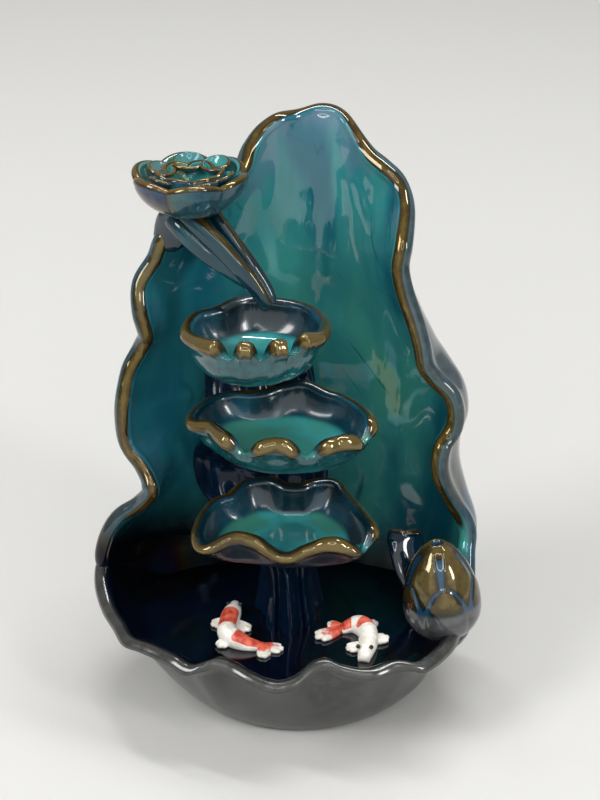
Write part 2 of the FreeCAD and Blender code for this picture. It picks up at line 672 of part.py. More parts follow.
def joined(name, shapes):
    """One solid from several that overlap."""
    item = doc.addObject("Part::MultiFuse", name)
    item.Refine = False
    item.Shapes = shapes
    return item


def cut_away(name, base, tool):
    """The base without what the tool takes from it."""
    item = doc.addObject("Part::Cut", name)
    item.Refine = False
    item.Base = base
    item.Tool = tool
    return item


clear_stalk = cut_away("stalk_behind_cups", stalk, joined("cup_hollows", cores))
hollow_basin = cut_away("hollow_basin", basin, joined("base_hollow", [cavity, vent]))
bored_bud = cut_away("bored_bud", bud, stick_hole)
lotus = joined("lotus", [flower, cone_seat, spout, spout_web, side_web])
bored_lotus = cut_away("bored_lotus", cut_away("bored_seat", lotus, smoke_well), smoke_passage)
burner = joined("ceramic_burner", [leaf, hollow_basin, clear_stalk, bored_lotus, bored_bud, bud_seat,
                                   curled_leaf] + cups)

# Koi: two small castings glued flat on the basin floor

AROUND_KOI = 24
MODELLED_LENGTH = 27.0
BODY_WIDTHS = (0.30, 0.42, 0.52, 0.55, 0.50, 0.42, 0.20)
BODY_HEIGHTS = (0.34, 0.62, 0.92, 1.0, 0.92, 0.78, 0.40)
# Share of the length, share of the width and height of a fin above the floor
FIN_SECTIONS = [(0.0, 0.5, 0.20), (0.3, 0.8, 0.22), (0.6, 1.0, 0.20), (0.85, 0.8, 0.15), (1.0, 0.4, 0.10)]
HALF_SUNK = 0.36
FIN_SUNK = 0.14


def koi(name, across, along, spine, fins):
    """One koi: a body along its spine from tail root to nose, with its tail lobes and fins as
    (root x, root y, tip x, tip y, half width). Its middle is placed at shares of the basin's half width
    and front reach, and it is cut flat where it is glued to the floor."""
    thick = size("koi_thickness")
    scale = size("koi_length") / MODELLED_LENGTH
    middle = Vector(across * size("basin_half_width"), along * size("basin_front_reach"),
                    size("basin_floor_height"))
    curve = Part.BSplineCurve()
    curve.interpolate([middle + Vector(x, y, 0) * scale for x, y in spine])
    line = curve.discretize(Number=len(BODY_WIDTHS))
    body = [point + UP * (HALF_SUNK * thick * height) for point, height in zip(line, BODY_HEIGHTS)]
    halves = [(thick * width * scale, (1 - HALF_SUNK) * thick * height)
              for width, height in zip(BODY_WIDTHS, BODY_HEIGHTS)]
    pieces = [skin(tube_rings(body, halves, around=AROUND_KOI))]
    for x, y, tip_x, tip_y, width in fins:
        root = middle + Vector(x, y, 0) * scale + UP * (FIN_SUNK * thick)
        tip = middle + Vector(tip_x, tip_y, 0) * scale + UP * (FIN_SUNK * thick)
        blade = [blend(root, tip, share) for share, spread, lift in FIN_SECTIONS]
        halves = [(width * spread * scale, lift * thick) for share, spread, lift in FIN_SECTIONS]
        pieces.append(skin(tube_rings(blade, halves, around=AROUND_KOI)))
    reach = 2 * size("koi_length")
    above_floor = Part.makeBox(reach, reach, 2 * thick, middle - Vector(reach / 2, reach / 2, 0))
    clipped = [piece.common(above_floor) for piece in pieces]
    return feature(name, clipped[0].fuse(clipped[1:]))


koi_left = koi("koi_left", -0.333, -0.34,
               [(9.5, -10), (2.5, -8.6), (-2.5, -4), (-2.2, 5), (-0.5, 15)],
               [(9, -10, 10.4, -16, 1.9), (8.5, -10, 16.4, -11.2, 1.8), (-2, 6, -8.5, 3.2, 2.0),
                (-1, 5, 4.8, 0, 1.8), (-2, -5, -5.4, -10, 1.8)])
koi_right = koi("koi_right", 0.303, -0.43,
                [(-6, 5.4), (-1.8, 6.6), (2, 4.4), (3.2, -2), (1.2, -13)],
                [(-5.5, 6.4, -10.4, 9.2, 1.7), (-5, 6, -14.6, 0.4, 1.9), (3, -2, 10, 1, 2.0),
                 (2, -4, -4.4, -6.2, 2.0), (3.6, 5, 5.4, 10.8, 1.6)])

doc.recompute()

# Checks, then one file for each piece

PIECES = [burner, koi_left, koi_right]
for item in doc.Objects:
    if "Invalid" in item.State or "Error" in item.State:
        raise RuntimeError("failed object: " + item.Name)
for item in PIECES:
    if item.Shape.isNull() or not item.Shape.isValid():
        raise RuntimeError("bad shape: " + item.Name)
    print(item.Name, len(item.Shape.Solids), round(item.Shape.Volume))

os.makedirs("parts", exist_ok=True)
for item in PIECES:
    item.Label = item.Name
    item.Shape.exportStep("parts/%s.step" % item.Label)
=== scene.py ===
"""Backflow incense burner: the glazed leaf, basin, cups, lotus and bud, and two painted koi.

The shapes are worked out in millimetres in the frame's own axes, and each mesh is brought to metres.
"""
import bmesh
import bpy
import math
from mathutils import Matrix, Vector, noise as wave


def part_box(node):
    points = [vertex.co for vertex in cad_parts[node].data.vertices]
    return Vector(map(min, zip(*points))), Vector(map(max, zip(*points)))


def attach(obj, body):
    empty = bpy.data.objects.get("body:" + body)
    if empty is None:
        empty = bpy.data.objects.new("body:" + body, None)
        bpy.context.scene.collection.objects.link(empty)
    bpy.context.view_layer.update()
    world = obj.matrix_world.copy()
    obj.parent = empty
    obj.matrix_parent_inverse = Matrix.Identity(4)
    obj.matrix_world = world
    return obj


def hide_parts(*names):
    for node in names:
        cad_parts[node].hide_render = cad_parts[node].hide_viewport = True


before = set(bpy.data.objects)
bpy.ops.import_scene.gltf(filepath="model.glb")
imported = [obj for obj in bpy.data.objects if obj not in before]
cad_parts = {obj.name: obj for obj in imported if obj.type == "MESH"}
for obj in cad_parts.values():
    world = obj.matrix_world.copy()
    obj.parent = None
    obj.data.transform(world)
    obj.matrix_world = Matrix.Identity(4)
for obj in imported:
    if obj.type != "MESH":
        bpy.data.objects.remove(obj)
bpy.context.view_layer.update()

MM = 0.001
UP = Vector((0, 0, 1))
koi_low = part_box("koi_left")[0]
FLOOR_HEIGHT = koi_low.z / MM

# Helpers for smooth outlines and skins


def blend(a, b, share):
    """A value or a point part of the way from a to b."""
    return a + (b - a) * share


def bell(distance, width):
    """One at no distance, falling to nothing over a few widths."""
    return math.exp(-(distance / width) ** 2)


def soft_step(value, low, high):
    """Zero up to low, one from high, and smooth between."""
    share = min(max((value - low) / (high - low), 0.0), 1.0)
    return share * share * (3 - 2 * share)


def turn(count):
    """Evenly spaced angles of one full turn, in radians."""
    return [2 * math.pi * i / count for i in range(count)]


CURVE_STEPS = 12


def curve_point(before, start, end, after, t):
    """A point at the share t of the way from start to end, on the smooth curve through four points."""
    return 0.5 * (2 * start + (end - before) * t + (2 * before - 5 * start + 4 * end - after) * t ** 2
                  + (3 * start - before - 3 * end + after) * t ** 3)


def smooth_loop(corners, count):
    """Evenly spaced points on the closed smooth curve through the given corner points."""
    dense = []
    total = len(corners)
    for k in range(total):
        four = [corners[(k + step) % total] for step in (-1, 0, 1, 2)]
        dense += [curve_point(*four, step / CURVE_STEPS) for step in range(CURVE_STEPS)]
    lengths = [0.0]
    for k, point in enumerate(dense):
        lengths.append(lengths[-1] + (dense[(k + 1) % len(dense)] - point).length)
    result = []
    k = 0
    for i in range(count):
        wanted = lengths[-1] * i / count
        while lengths[k + 1] < wanted:
            k += 1
        share = (wanted - lengths[k]) / (lengths[k + 1] - lengths[k])
        result.append(blend(dense[k], dense[(k + 1) % len(dense)], share))
    return result


def smooth_line(corners, count):
    """Evenly shared points on the open smooth curve through the given corner points."""
    ends = [2 * corners[0] - corners[1]] + list(corners) + [2 * corners[-1] - corners[-2]]
    result = []
    for i in range(count):
        place = (len(corners) - 1) * i / (count - 1)
        k = min(int(place), len(corners) - 2)
        result.append(curve_point(*ends[k:k + 4], place - k))
    return result


def off_line(x, z, line):
    """How far a place on the wall is from a line of places."""
    nearest = math.inf
    for (x0, z0), (x1, z1) in zip(line, line[1:]):
        length = math.hypot(x1 - x0, z1 - z0)
        share = min(max(((x - x0) * (x1 - x0) + (z - z0) * (z1 - z0)) / length ** 2, 0.0), 1.0)
        nearest = min(nearest, math.hypot(x - blend(x0, x1, share), z - blend(z0, z1, share)))
    return nearest


def normals(rings, away_from):
    """Unit normals of the surface through the rings, pointing away from the given point."""
    last = len(rings) - 1
    around = len(rings[0])
    result = []
    for k, ring in enumerate(rings):
        row = []
        for i in range(around):
            along = ring[(i + 1) % around] - ring[i - 1]
            across = rings[min(k + 1, last)][i] - rings[max(k - 1, 0)][i]
            row.append(along.cross(across).normalized())
        result.append(row)
    middle = last // 2
    facing = sum(n.dot(p - away_from) for n, p in zip(result[middle], rings[middle]))
    if facing < 0:
        result = [[-n for n in row] for row in result]
    return result


def piece(name, shell, finish, node):
    """The finished object for a bmesh worked out in millimetres, which stands for a node of the frame."""
    bmesh.ops.scale(shell, vec=(MM, MM, MM), verts=shell.verts)
    bmesh.ops.recalc_face_normals(shell, faces=shell.faces)
    for face in shell.faces:
        face.smooth = True
    mesh = bpy.data.meshes.new(name)
    shell.to_mesh(mesh)
    shell.free()
    mesh.materials.append(finish)
    result = bpy.data.objects.new(name, mesh)
    bpy.context.collection.objects.link(result)
    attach(result, "root")
    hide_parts(node)
    return result


def value_layer(shell, name):
    """The values of that name on a bmesh's vertices, made if there are none yet."""
    return shell.verts.layers.float.get(name) or shell.verts.layers.float.new(name)


MERGE_DISTANCE = 0.0001


def add_skin(shell, rings, marks):
    """Adds the closed skin over rings of points to a bmesh. marks holds, for each name, a number for
    each point, kept as a value of that name on the mesh."""
    around = len(rings[0])
    across = len(rings) - 1
    layers = {name: value_layer(shell, name) for name in marks}
    made = bmesh.ops.create_grid(shell, x_segments=around, y_segments=across, size=0.5)["verts"]
    for vert in made:
        i = round((vert.co.x + 0.5) * around) % around
        k = round((vert.co.y + 0.5) * across)
        vert.co = rings[k][i]
        for name, layer in layers.items():
            vert[layer] = marks[name][k][i]
    bmesh.ops.remove_doubles(shell, verts=made, dist=MERGE_DISTANCE)


def closed(rings, marks):
    """Rings and marks with each end drawn to one point."""
    def ends(rows, middle):
        return [[middle(rows[0])] * len(rows[0])] + rows + [[middle(rows[-1])] * len(rows[-1])]

    def mean_point(row):
        return sum(row, Vector((0, 0, 0))) / len(row)

    def mean_number(row):
        return sum(row) / len(row)

    return ends(rings, mean_point), {name: ends(rows, mean_number) for name, rows in marks.items()}


# Turns of a rolled lip's points, in degrees up from the outside, and its form as shares of its radius
LIP_DEGREES = (165, 148, 131, 114, 97, 80, 63, 46, 29, 12)
LIP_FULLNESS = 1.25
LIP_SPREAD = 1.15
# How far the lip's root lies inside and behind its crest, as shares of the lip
LIP_INSET = 0.55
LIP_SETBACK = 0.45
# How far a lip narrows and sinks where it is pinched, and how far its heights are evened
PINCH_NARROWS = 0.40
PINCH_SINKS = 0.25
LIP_CALM = 0.35
# How far the mark near reaches in from the rim in millimetres, and its value on the lip and outside
NEAR_EDGE = 26.0
NEAR_OUTSIDE = 0.7


def evened(ring, reach):
    """The ring with each point at the mean of its neighbours."""
    around = len(ring)
    total = sum((ring[step % around] for step in range(-reach, reach + 1)), Vector((0, 0, 0)))
    result = []
    for i in range(around):
        result.append(total / (2 * reach + 1))
        total = total + ring[(i + reach + 1) % around] - ring[i - reach]
    return result


def calmed(ring, share, reach):
    """The ring with its heights brought part of the way to the mean of their neighbours' heights."""
    around = len(ring)
    result = []
    for i, point in enumerate(ring):
        mean = sum(ring[(i + step) % around].z for step in range(-reach, reach + 1)) / (2 * reach + 1)
        result.append(Vector((point.x, point.y, blend(point.z, mean, share))))
    return result


def rolled_lip(inner, facing, lip, pinch, reach):
    """Rings of the lip over the rim of the inner rings, from the inside to the outside. Its heights are
    evened over reach neighbours, if any."""
    along = [(point - back).normalized() for point, back in zip(inner[-1], inner[-2])]
    rings = []
    for degrees in LIP_DEGREES:
        angle = math.radians(degrees)
        ring = []
        for point, outward, forward, pinched in zip(inner[-1], facing, along, pinch):
            radius = lip / 2 * (1 - PINCH_NARROWS * pinched)
            aside = radius * (1 + LIP_SPREAD * math.cos(angle))
            ahead = radius * LIP_FULLNESS * math.sin(angle) - PINCH_SINKS * lip * pinched
            ring.append(point + outward * aside + forward * ahead)
        rings.append(calmed(ring, LIP_CALM * max(0.0, math.cos(angle)), reach) if reach else ring)
    return rings


def outer_rings(inner, outward, wall, lip, calm, thick):
    """Rings of the outside from the middle to the rim, where the wall turns into the lip."""
    rings = []
    for k, (ring, facing) in enumerate(zip(inner, outward)):
        share = k / len(inner)
        thickness = wall + thick * (1 - share ** 3) if k < len(inner) - 2 else blend(wall, lip, 0.5)
        thrown = [point + normal * thickness for point, normal in zip(ring, facing)]
        if calm:
            thrown = calmed(thrown, blend(calm[0], LIP_CALM, share ** 4), calm[1])
        rings.append(thrown)
    return rings


def run_along(rings):
    """How far each point of each ring is from the first ring, measured over the rings between."""
    far = [0.0] * len(rings[0])
    result = [far]
    for before, ring in zip(rings, rings[1:]):
        far = [so_far + (point - last).length for so_far, point, last in zip(far, ring, before)]
        result.append(far)
    return result


def bare_band(runs, band, crest, pinch):
    """The mark rim beside the lip, which falls from its value at the crest over the band."""
    return [[crest * (max(0.0, 1 - far / (2 * band)) * (1 - pinched)) for far, pinched in zip(row, pinch)]
            for row in runs]


def dish(inner, wall, lip, heart, band, face, pinch=None, calm=None, spread=62, thick=0.0):
    """Rings and marks of a bowl of even wall with a rolled lip. inner holds the rings of its inside,
    from its middle to its rim, heart is a point inside it, and band is how far the glaze has run off the
    lip, inside and outside. face is the turn of the lip where the bronze shows most, in degrees up from
    the outside, and spread how far round it shows. pinch, one number for each point of the rim, narrows
    the lip where it is over zero and swells it where it is under. calm is how far the heights of the
    outside are evened, and over how many neighbours. thick is how much thicker the wall is in the
    middle."""
    around = len(inner[0])
    pinch = pinch or [0.0] * around
    outward = normals(inner, heart)
    lips = rolled_lip(inner, outward[-1], lip, pinch, calm[1] if calm else 0)
    outer = outer_rings(inner, outward, wall, lip, calm, thick)[::-1][1:]
    run_in = run_along(inner[::-1])[::-1]
    run_out = run_along([lips[-1]] + outer)[1:]
    crests = [bell(degrees - face, spread) for degrees in LIP_DEGREES]
    rims = bare_band(run_in, band[0], crests[0], pinch)
    rims += [[crest * (1 - pinched) for pinched in pinch] for crest in crests]
    rims += bare_band(run_out, band[1], crests[-1], pinch)
    backs = [[0.0] * around for ring in inner]
    backs += [[k / len(lips)] * around for k in range(len(lips))]
    backs += [[1.0] * around for ring in outer]
    near = [[max(0.0, 1 - far / NEAR_EDGE) for far in row] for row in run_in]
    near += [[NEAR_OUTSIDE] * around for ring in lips + outer]
    return inner + lips + outer, {"rim": rims, "back": backs, "near": near}


# Round a bar, in degrees from its top: the width of its groove, the place and width of the bare edges
# beside it with how bare they are, and the width of a bare ridge
GROOVE_DEGREES = 34.0
EDGE_DEGREES = 48
EDGE_WIDTH = 13
EDGE_BARE = 0.9
RIDGE_WIDTH = 26


def tube(line, halves, groove=0.0, around=48, ridge=0.0, tip=0.0):
    """Rings and marks of an oval bar along a line of points, with a half width and half height at each.
    A groove along its top takes that share of the radius, and the glaze has run off its two edges. ridge
    is how much the glaze has run off the top of a bar with no groove, and tip the share of its length at
    the far end where it is bare too."""
    rings = []
    rims = []
    for k, middle in enumerate(line):
        ahead = (line[min(k + 1, len(line) - 1)] - line[max(k - 1, 0)]).normalized()
        side = UP.cross(ahead).normalized()
        top = ahead.cross(side)
        half_width, half_height = halves[k]
        ring = []
        row = []
        for angle in turn(around):
            from_top = (math.degrees(angle) - 90 + 180) % 360 - 180
            reach = 1 - groove * bell(from_top, GROOVE_DEGREES)
            ring.append(middle + side * (half_width * reach * math.cos(angle))
                        + top * (half_height * reach * math.sin(angle)))
            beside = EDGE_BARE * bell(abs(from_top) - EDGE_DEGREES, EDGE_WIDTH)
            bare = beside if groove else ridge * bell(from_top, RIDGE_WIDTH)
            row.append(max(bare, soft_step(k / len(line), 1 - 2 * tip, 1) if tip else 0.0))
        rings.append(ring)
        rims.append(row)
    backs = [[0.0] * around for ring in rings]
    return closed(rings, {"rim": rims, "back": backs})


def spaced(stations, count):
    """Halves along a bar at the same even shares as smooth_line."""
    return [(p.x, p.y) for p in smooth_line([Vector((w, h, 0)) for w, h in stations], count)]


# Finishes


def add_node(tree, kind, **values):
    """A shader node with the given properties and input values."""
    result = tree.nodes.new(kind)
    for name, value in values.items():
        if name.startswith("in_"):
            result.inputs[int(name[3:])].default_value = value
        else:
            setattr(result, name, value)
    return result


def ramp(tree, fac, stops):
    """A colour ramp over fac with stops of (position, colour)."""
    result = add_node(tree, "ShaderNodeValToRGB")
    elements = result.color_ramp.elements
    result.color_ramp.interpolation = "EASE"
    while len(elements) < len(stops):
        elements.new(0.5)
    for element, (position, colour) in zip(elements, stops):
        element.position = position
        element.color = (*colour, 1)
    tree.links.new(fac, result.inputs[0])
    return result.outputs[0]


def mixed(tree, fac, first, second):
    """The first colour turning to the second as fac goes from 0 to 1. Each may be a socket or a colour."""
    result = add_node(tree, "ShaderNodeMix", data_type="RGBA")
    for value, socket in ((fac, result.inputs[0]), (first, result.inputs[6]), (second, result.inputs[7])):
        if isinstance(value, (tuple, float, int)):
            socket.default_value = (*value, 1) if isinstance(value, tuple) else value
        else:
            tree.links.new(value, socket)
    return result.outputs[2]


def maths(tree, operation, first, second=0.0):
    """One sum of two numbers, each a socket or a value."""
    result = add_node(tree, "ShaderNodeMath", operation=operation)
    for value, socket in zip((first, second), result.inputs):
        if isinstance(value, (float, int)):
            socket.default_value = value
        else:
            tree.links.new(value, socket)
    return result.outputs[0]


def noise(tree, place, scale, detail=3.0, roughness=0.5, stretch=None, distortion=0.0):
    """Cloud noise in object space, stretched along an axis if asked."""
    if stretch:
        mapping = add_node(tree, "ShaderNodeMapping", in_3=stretch)
        tree.links.new(place, mapping.inputs[0])
        place = mapping.outputs[0]
    result = add_node(tree, "ShaderNodeTexNoise")
    settings = {"Scale": scale, "Detail": detail, "Roughness": roughness, "Distortion": distortion}
    for name, value in settings.items():
        result.inputs[name].default_value = value
    tree.links.new(place, result.inputs["Vector"])
    return result.outputs[0]


def off_middle(tree, cloud, strength):
    """How far a cloud noise is over its middle value, times a strength."""
    return maths(tree, "MULTIPLY", maths(tree, "SUBTRACT", cloud, 0.5), strength)


def masked(tree, fac, low, high):
    """Black up to low, white from high, and smooth between."""
    return ramp(tree, fac, [(low, (0, 0, 0)), (high, (1, 1, 1))])


def ranged(tree, value, low, high, start=0.0, end=1.0, steps="SMOOTHSTEP"):
    """A value that goes from start to end while another goes from low to high."""
    result = add_node(tree, "ShaderNodeMapRange", interpolation_type=steps,
                      in_1=low, in_2=high, in_3=start, in_4=end)
    tree.links.new(value, result.inputs[0])
    return result.outputs[0]


def mark(tree, name):
    """A value kept on the mesh."""
    return add_node(tree, "ShaderNodeAttribute", attribute_name=name).outputs["Fac"]


def finish_shader(name):
    """A new material, its node tree, its shader and its object coordinates."""
    material = bpy.data.materials.new(name)
    material.use_nodes = True
    tree = material.node_tree
    shader = tree.nodes["Principled BSDF"]
    place = add_node(tree, "ShaderNodeTexCoord").outputs["Object"]
    return material, tree, shader, place


# Colours of the glazes, as linear red, green and blue
BRONZE_DARK = (0.014, 0.013, 0.005)
BRONZE = (0.060, 0.038, 0.007)
BRONZE_PALE = (0.125, 0.088, 0.024)
NAVY = (0.0010, 0.007, 0.020)
DEEP_TEAL = (0.0060, 0.090, 0.130)
BLUE_TEAL = (0.0100, 0.120, 0.170)
TEAL = (0.028, 0.200, 0.205)
GREEN_TEAL = (0.044, 0.260, 0.215)
TURQUOISE = (0.034, 0.165, 0.130)
POOL_TEAL = (0.018, 0.130, 0.140)
LILAC = (0.085, 0.140, 0.205)
PALE_TURQUOISE = (0.10, 0.34, 0.33)
BLACK_GLAZE = (0.0016, 0.0019, 0.0030)
SLATE = (0.020, 0.030, 0.036)
GREY_GLAZE = (0.012, 0.012, 0.013)


def shaded(colour, strength):
    """The colour made darker or brighter."""
    return tuple(strength * part for part in colour)


def pooled(tree, place, clouds, body):
    """The colours of the glaze's pools, from deep to thin, over its clouds and the streaks of its runs."""
    streaks = noise(tree, place, 85, detail=3, stretch=(1.0, 1.0, 0.14))
    flow = maths(tree, "ADD", maths(tree, "MULTIPLY", clouds, 0.8), maths(tree, "MULTIPLY", streaks, 0.2))
    return ramp(tree, flow, list(zip((0.38, 0.47, 0.56, 0.70), body)))


def veined(tree, place, colour, depth):
    """The colour with thin dark flow lines on some of its patches."""
    bends = noise(tree, place, 19, detail=2, stretch=(1.0, 1.0, 0.45), distortion=1.8)
    aside = maths(tree, "ABSOLUTE", maths(tree, "SUBTRACT", bends, 0.47))
    line = ramp(tree, aside, [(0.002, (1, 1, 1)), (0.011, (0, 0, 0))])
    patch = masked(tree, noise(tree, place, 31, detail=1), 0.50, 0.60)
    line = maths(tree, "MULTIPLY", maths(tree, "MULTIPLY", line, patch), depth)
    return mixed(tree, line, colour, NAVY)


def hazed(tree, place, colour, haze):
    """The colour turned milky in wisps where the mark near is high."""
    wisps = noise(tree, place, 34, detail=3, stretch=(1.0, 1.0, 0.5), distortion=1.4)
    milky = masked(tree, maths(tree, "ADD", mark(tree, "near"), off_middle(tree, wisps, 3.2)), 0.62, 1.0)
    return mixed(tree, maths(tree, "MULTIPLY", milky, haze), colour, LILAC)


WALL_ROUGH = 0.22
BRONZE_ROUGH = 0.07
BRONZE_METAL = 0.5
GLAZE_IOR = 1.56
FILM_IOR = 1.38
COAT = 0.3
COAT_ROUGH = 0.03
LEVEL_WOBBLE = 30 * MM
# From where to where the wall turns from blue on its left to its own colour, and how blue it is at least
BLUE_SIDE = (-58 * MM, 5 * MM)
LEAST_BLUE = 0.25
# How far over the lowest level the glaze is still rough, and is smooth, in millimetres
ROUGH_RISE = (6, 16)


def glaze(name, body, sunk=None, outside=SLATE, film=0.0, rough=0.05, outside_rough=0.12, bronze=BRONZE,
          wall=None, haze=0.0, low_rough=None, cloud=16, veins=0.0, gloss=1.0):
    """Thick glossy glaze. body is the colours of its pools from deep to thin, and it breaks to bronze
    where the mark rim is high. sunk is (colour, low, high, tilt) for where it darkens below a height in
    millimetres, which tilts down to the right, with low_rough its roughness there, outside the colour of
    its back, wall its colour where the mark wall is high, haze how milky it is near the edge, film
    how thick its lustre is in nanometres, cloud how fine its clouds are, veins how dark its thin flow
    lines are, and gloss how strongly it mirrors the room."""
    material, tree, shader, place = finish_shader(name)
    clouds = noise(tree, place, cloud, detail=4, stretch=(1.0, 1.0, 0.5), distortion=0.5)
    grain = noise(tree, place, 260, detail=4, roughness=0.6)
    colour = pooled(tree, place, clouds, body)
    plain = (rough,) * 3
    mottled = ramp(tree, grain, [(0.35, shaded(outside, 0.75)), (0.65, shaded(outside, 1.3))])
    if veins:
        colour = veined(tree, place, colour, veins)
    if haze:
        colour = hazed(tree, place, colour, haze)
    if sunk:
        low_colour, low, high, tilt = sunk
        separate = add_node(tree, "ShaderNodeSeparateXYZ")
        tree.links.new(place, separate.inputs[0])
        across, height = separate.outputs[0], separate.outputs[2]
        wobble = off_middle(tree, clouds, LEVEL_WOBBLE)
        side = ranged(tree, maths(tree, "ADD", across, wobble), *BLUE_SIDE, LEAST_BLUE, 1.0)
        level = maths(tree, "ADD", height, wobble)
        level = maths(tree, "ADD", level, maths(tree, "MULTIPLY", across, tilt))
        rise = ranged(tree, level, low * MM, high * MM)
        colour = mixed(tree, rise, low_colour, mixed(tree, side, BLUE_TEAL, colour))
        mottled = mixed(tree, rise, GREY_GLAZE, mottled)
        if low_rough:
            rough_from, smooth_from = ((low + step) * MM for step in ROUGH_RISE)
            plain = ranged(tree, height, rough_from, smooth_from, low_rough, rough)
    if wall:
        cover = masked(tree, mark(tree, "wall"), 0.15, 0.85)
        shade = ramp(tree, clouds, [(0.40, shaded(wall, 0.45)), (0.66, shaded(wall, 1.9))])
        colour = mixed(tree, cover, colour, shade)
        plain = mixed(tree, cover, plain, (WALL_ROUGH,) * 3)
    back = masked(tree, mark(tree, "back"), 0.34, 0.66)
    colour = mixed(tree, back, colour, mottled)
    plain = mixed(tree, back, plain, (outside_rough,) * 3)
    edge = maths(tree, "ADD", mark(tree, "rim"), off_middle(tree, clouds, 0.8))
    worn = masked(tree, edge, 0.40, 0.66)
    thin = maths(tree, "ADD", edge, off_middle(tree, grain, 0.5))
    metal = ramp(tree, thin, [(0.50, BRONZE_DARK), (0.82, bronze), (1.15, BRONZE_PALE)])
    tree.links.new(mixed(tree, worn, colour, metal), shader.inputs["Base Color"])
    tree.links.new(mixed(tree, worn, plain, (BRONZE_ROUGH,) * 3), shader.inputs["Roughness"])
    tree.links.new(maths(tree, "MULTIPLY", worn, BRONZE_METAL), shader.inputs["Metallic"])
    shader.inputs["IOR"].default_value = GLAZE_IOR
    shader.inputs["Specular IOR Level"].default_value = 0.5 * gloss
    shader.inputs["Coat Weight"].default_value = COAT * gloss
    shader.inputs["Coat Roughness"].default_value = COAT_ROUGH
    if film:
        lustre = masked(tree, clouds, 0.40, 0.70)
        tree.links.new(maths(tree, "MULTIPLY", lustre, film), shader.inputs["Thin Film Thickness"])
        shader.inputs["Thin Film IOR"].default_value = FILM_IOR
    bump = add_node(tree, "ShaderNodeBump", in_0=0.25, in_1=0.001)
    tree.links.new(noise(tree, place, 65, detail=2), bump.inputs["Height"])
    tree.links.new(bump.outputs[0], shader.inputs["Normal"])
    return material


leaf_glaze = glaze("leaf_glaze", (DEEP_TEAL, TEAL, GREEN_TEAL, GREEN_TEAL), (BLACK_GLAZE, 30, 58, 0.3),
                   outside=(0.022, 0.042, 0.052), film=360.0, haze=0.6, low_rough=0.3, veins=0.6)
cup_glaze = glaze("cup_glaze", (POOL_TEAL, TEAL, TURQUOISE, TURQUOISE), outside=(0.006, 0.058, 0.066),
                  wall=(0.003, 0.030, 0.048), cloud=42)
# The lower cup's copy of the cup glaze has its outside painted near black and its wall a little darker:
# painted shade under it, over the basin.
low_cup_painted_shade_glaze = glaze("low_cup_painted_shade_glaze", (POOL_TEAL, TEAL, TURQUOISE, TURQUOISE),
                      outside=(0.003, 0.010, 0.018), wall=(0.003, 0.026, 0.042), outside_rough=0.35, cloud=42)
lotus_glaze = glaze("lotus_glaze", (DEEP_TEAL, TEAL, TURQUOISE, PALE_TURQUOISE),
                    outside=(0.016, 0.050, 0.064), film=380.0, haze=0.4)
spout_glaze = glaze("spout_glaze",
                    (NAVY, (0.002, 0.012, 0.020), (0.003, 0.028, 0.040), (0.005, 0.060, 0.080)),
                    outside=NAVY, cloud=42, gloss=0.7)
# The stalk is painted navy all over: painted shade for the shadow behind and between the cups.
stalk_painted_shade_glaze = glaze("stalk_painted_shade_glaze", (NAVY, NAVY, NAVY, (0.002, 0.022, 0.034)),
                    outside=NAVY, rough=0.08, gloss=0.3)
curl_glaze = glaze("curl_glaze", (NAVY, (0.002, 0.020, 0.040), (0.003, 0.050, 0.075), DEEP_TEAL),
                   outside=NAVY)
basin_glaze = glaze("basin_glaze", (BLACK_GLAZE, (0.0012, 0.003, 0.010), BLACK_GLAZE, BLACK_GLAZE),
                    outside=(0.026, 0.027, 0.025), rough=0.10, outside_rough=0.22)
BUD_BLUES = ((0.003, 0.012, 0.03), (0.005, 0.025, 0.055), (0.008, 0.04, 0.08), (0.012, 0.06, 0.10))
# The bud's outside colour, used on its foot, is dark grey glaze painted paler: painted reflection of the
# table.
bud_glaze = glaze("bud_glaze", BUD_BLUES,
                  outside=(0.060, 0.063, 0.065), outside_rough=0.16, bronze=(0.046, 0.034, 0.010))

# Leaf: a tall cupped blade whose edge rolls forward all round

AROUND_LEAF = 440
LEAF_HALF_WIDTH = 60.0
LEAF_BACK = 34.0
LEAF_WALL = 4.6
LEAF_LIP = 5.6
LEAF_TALL = 196.0
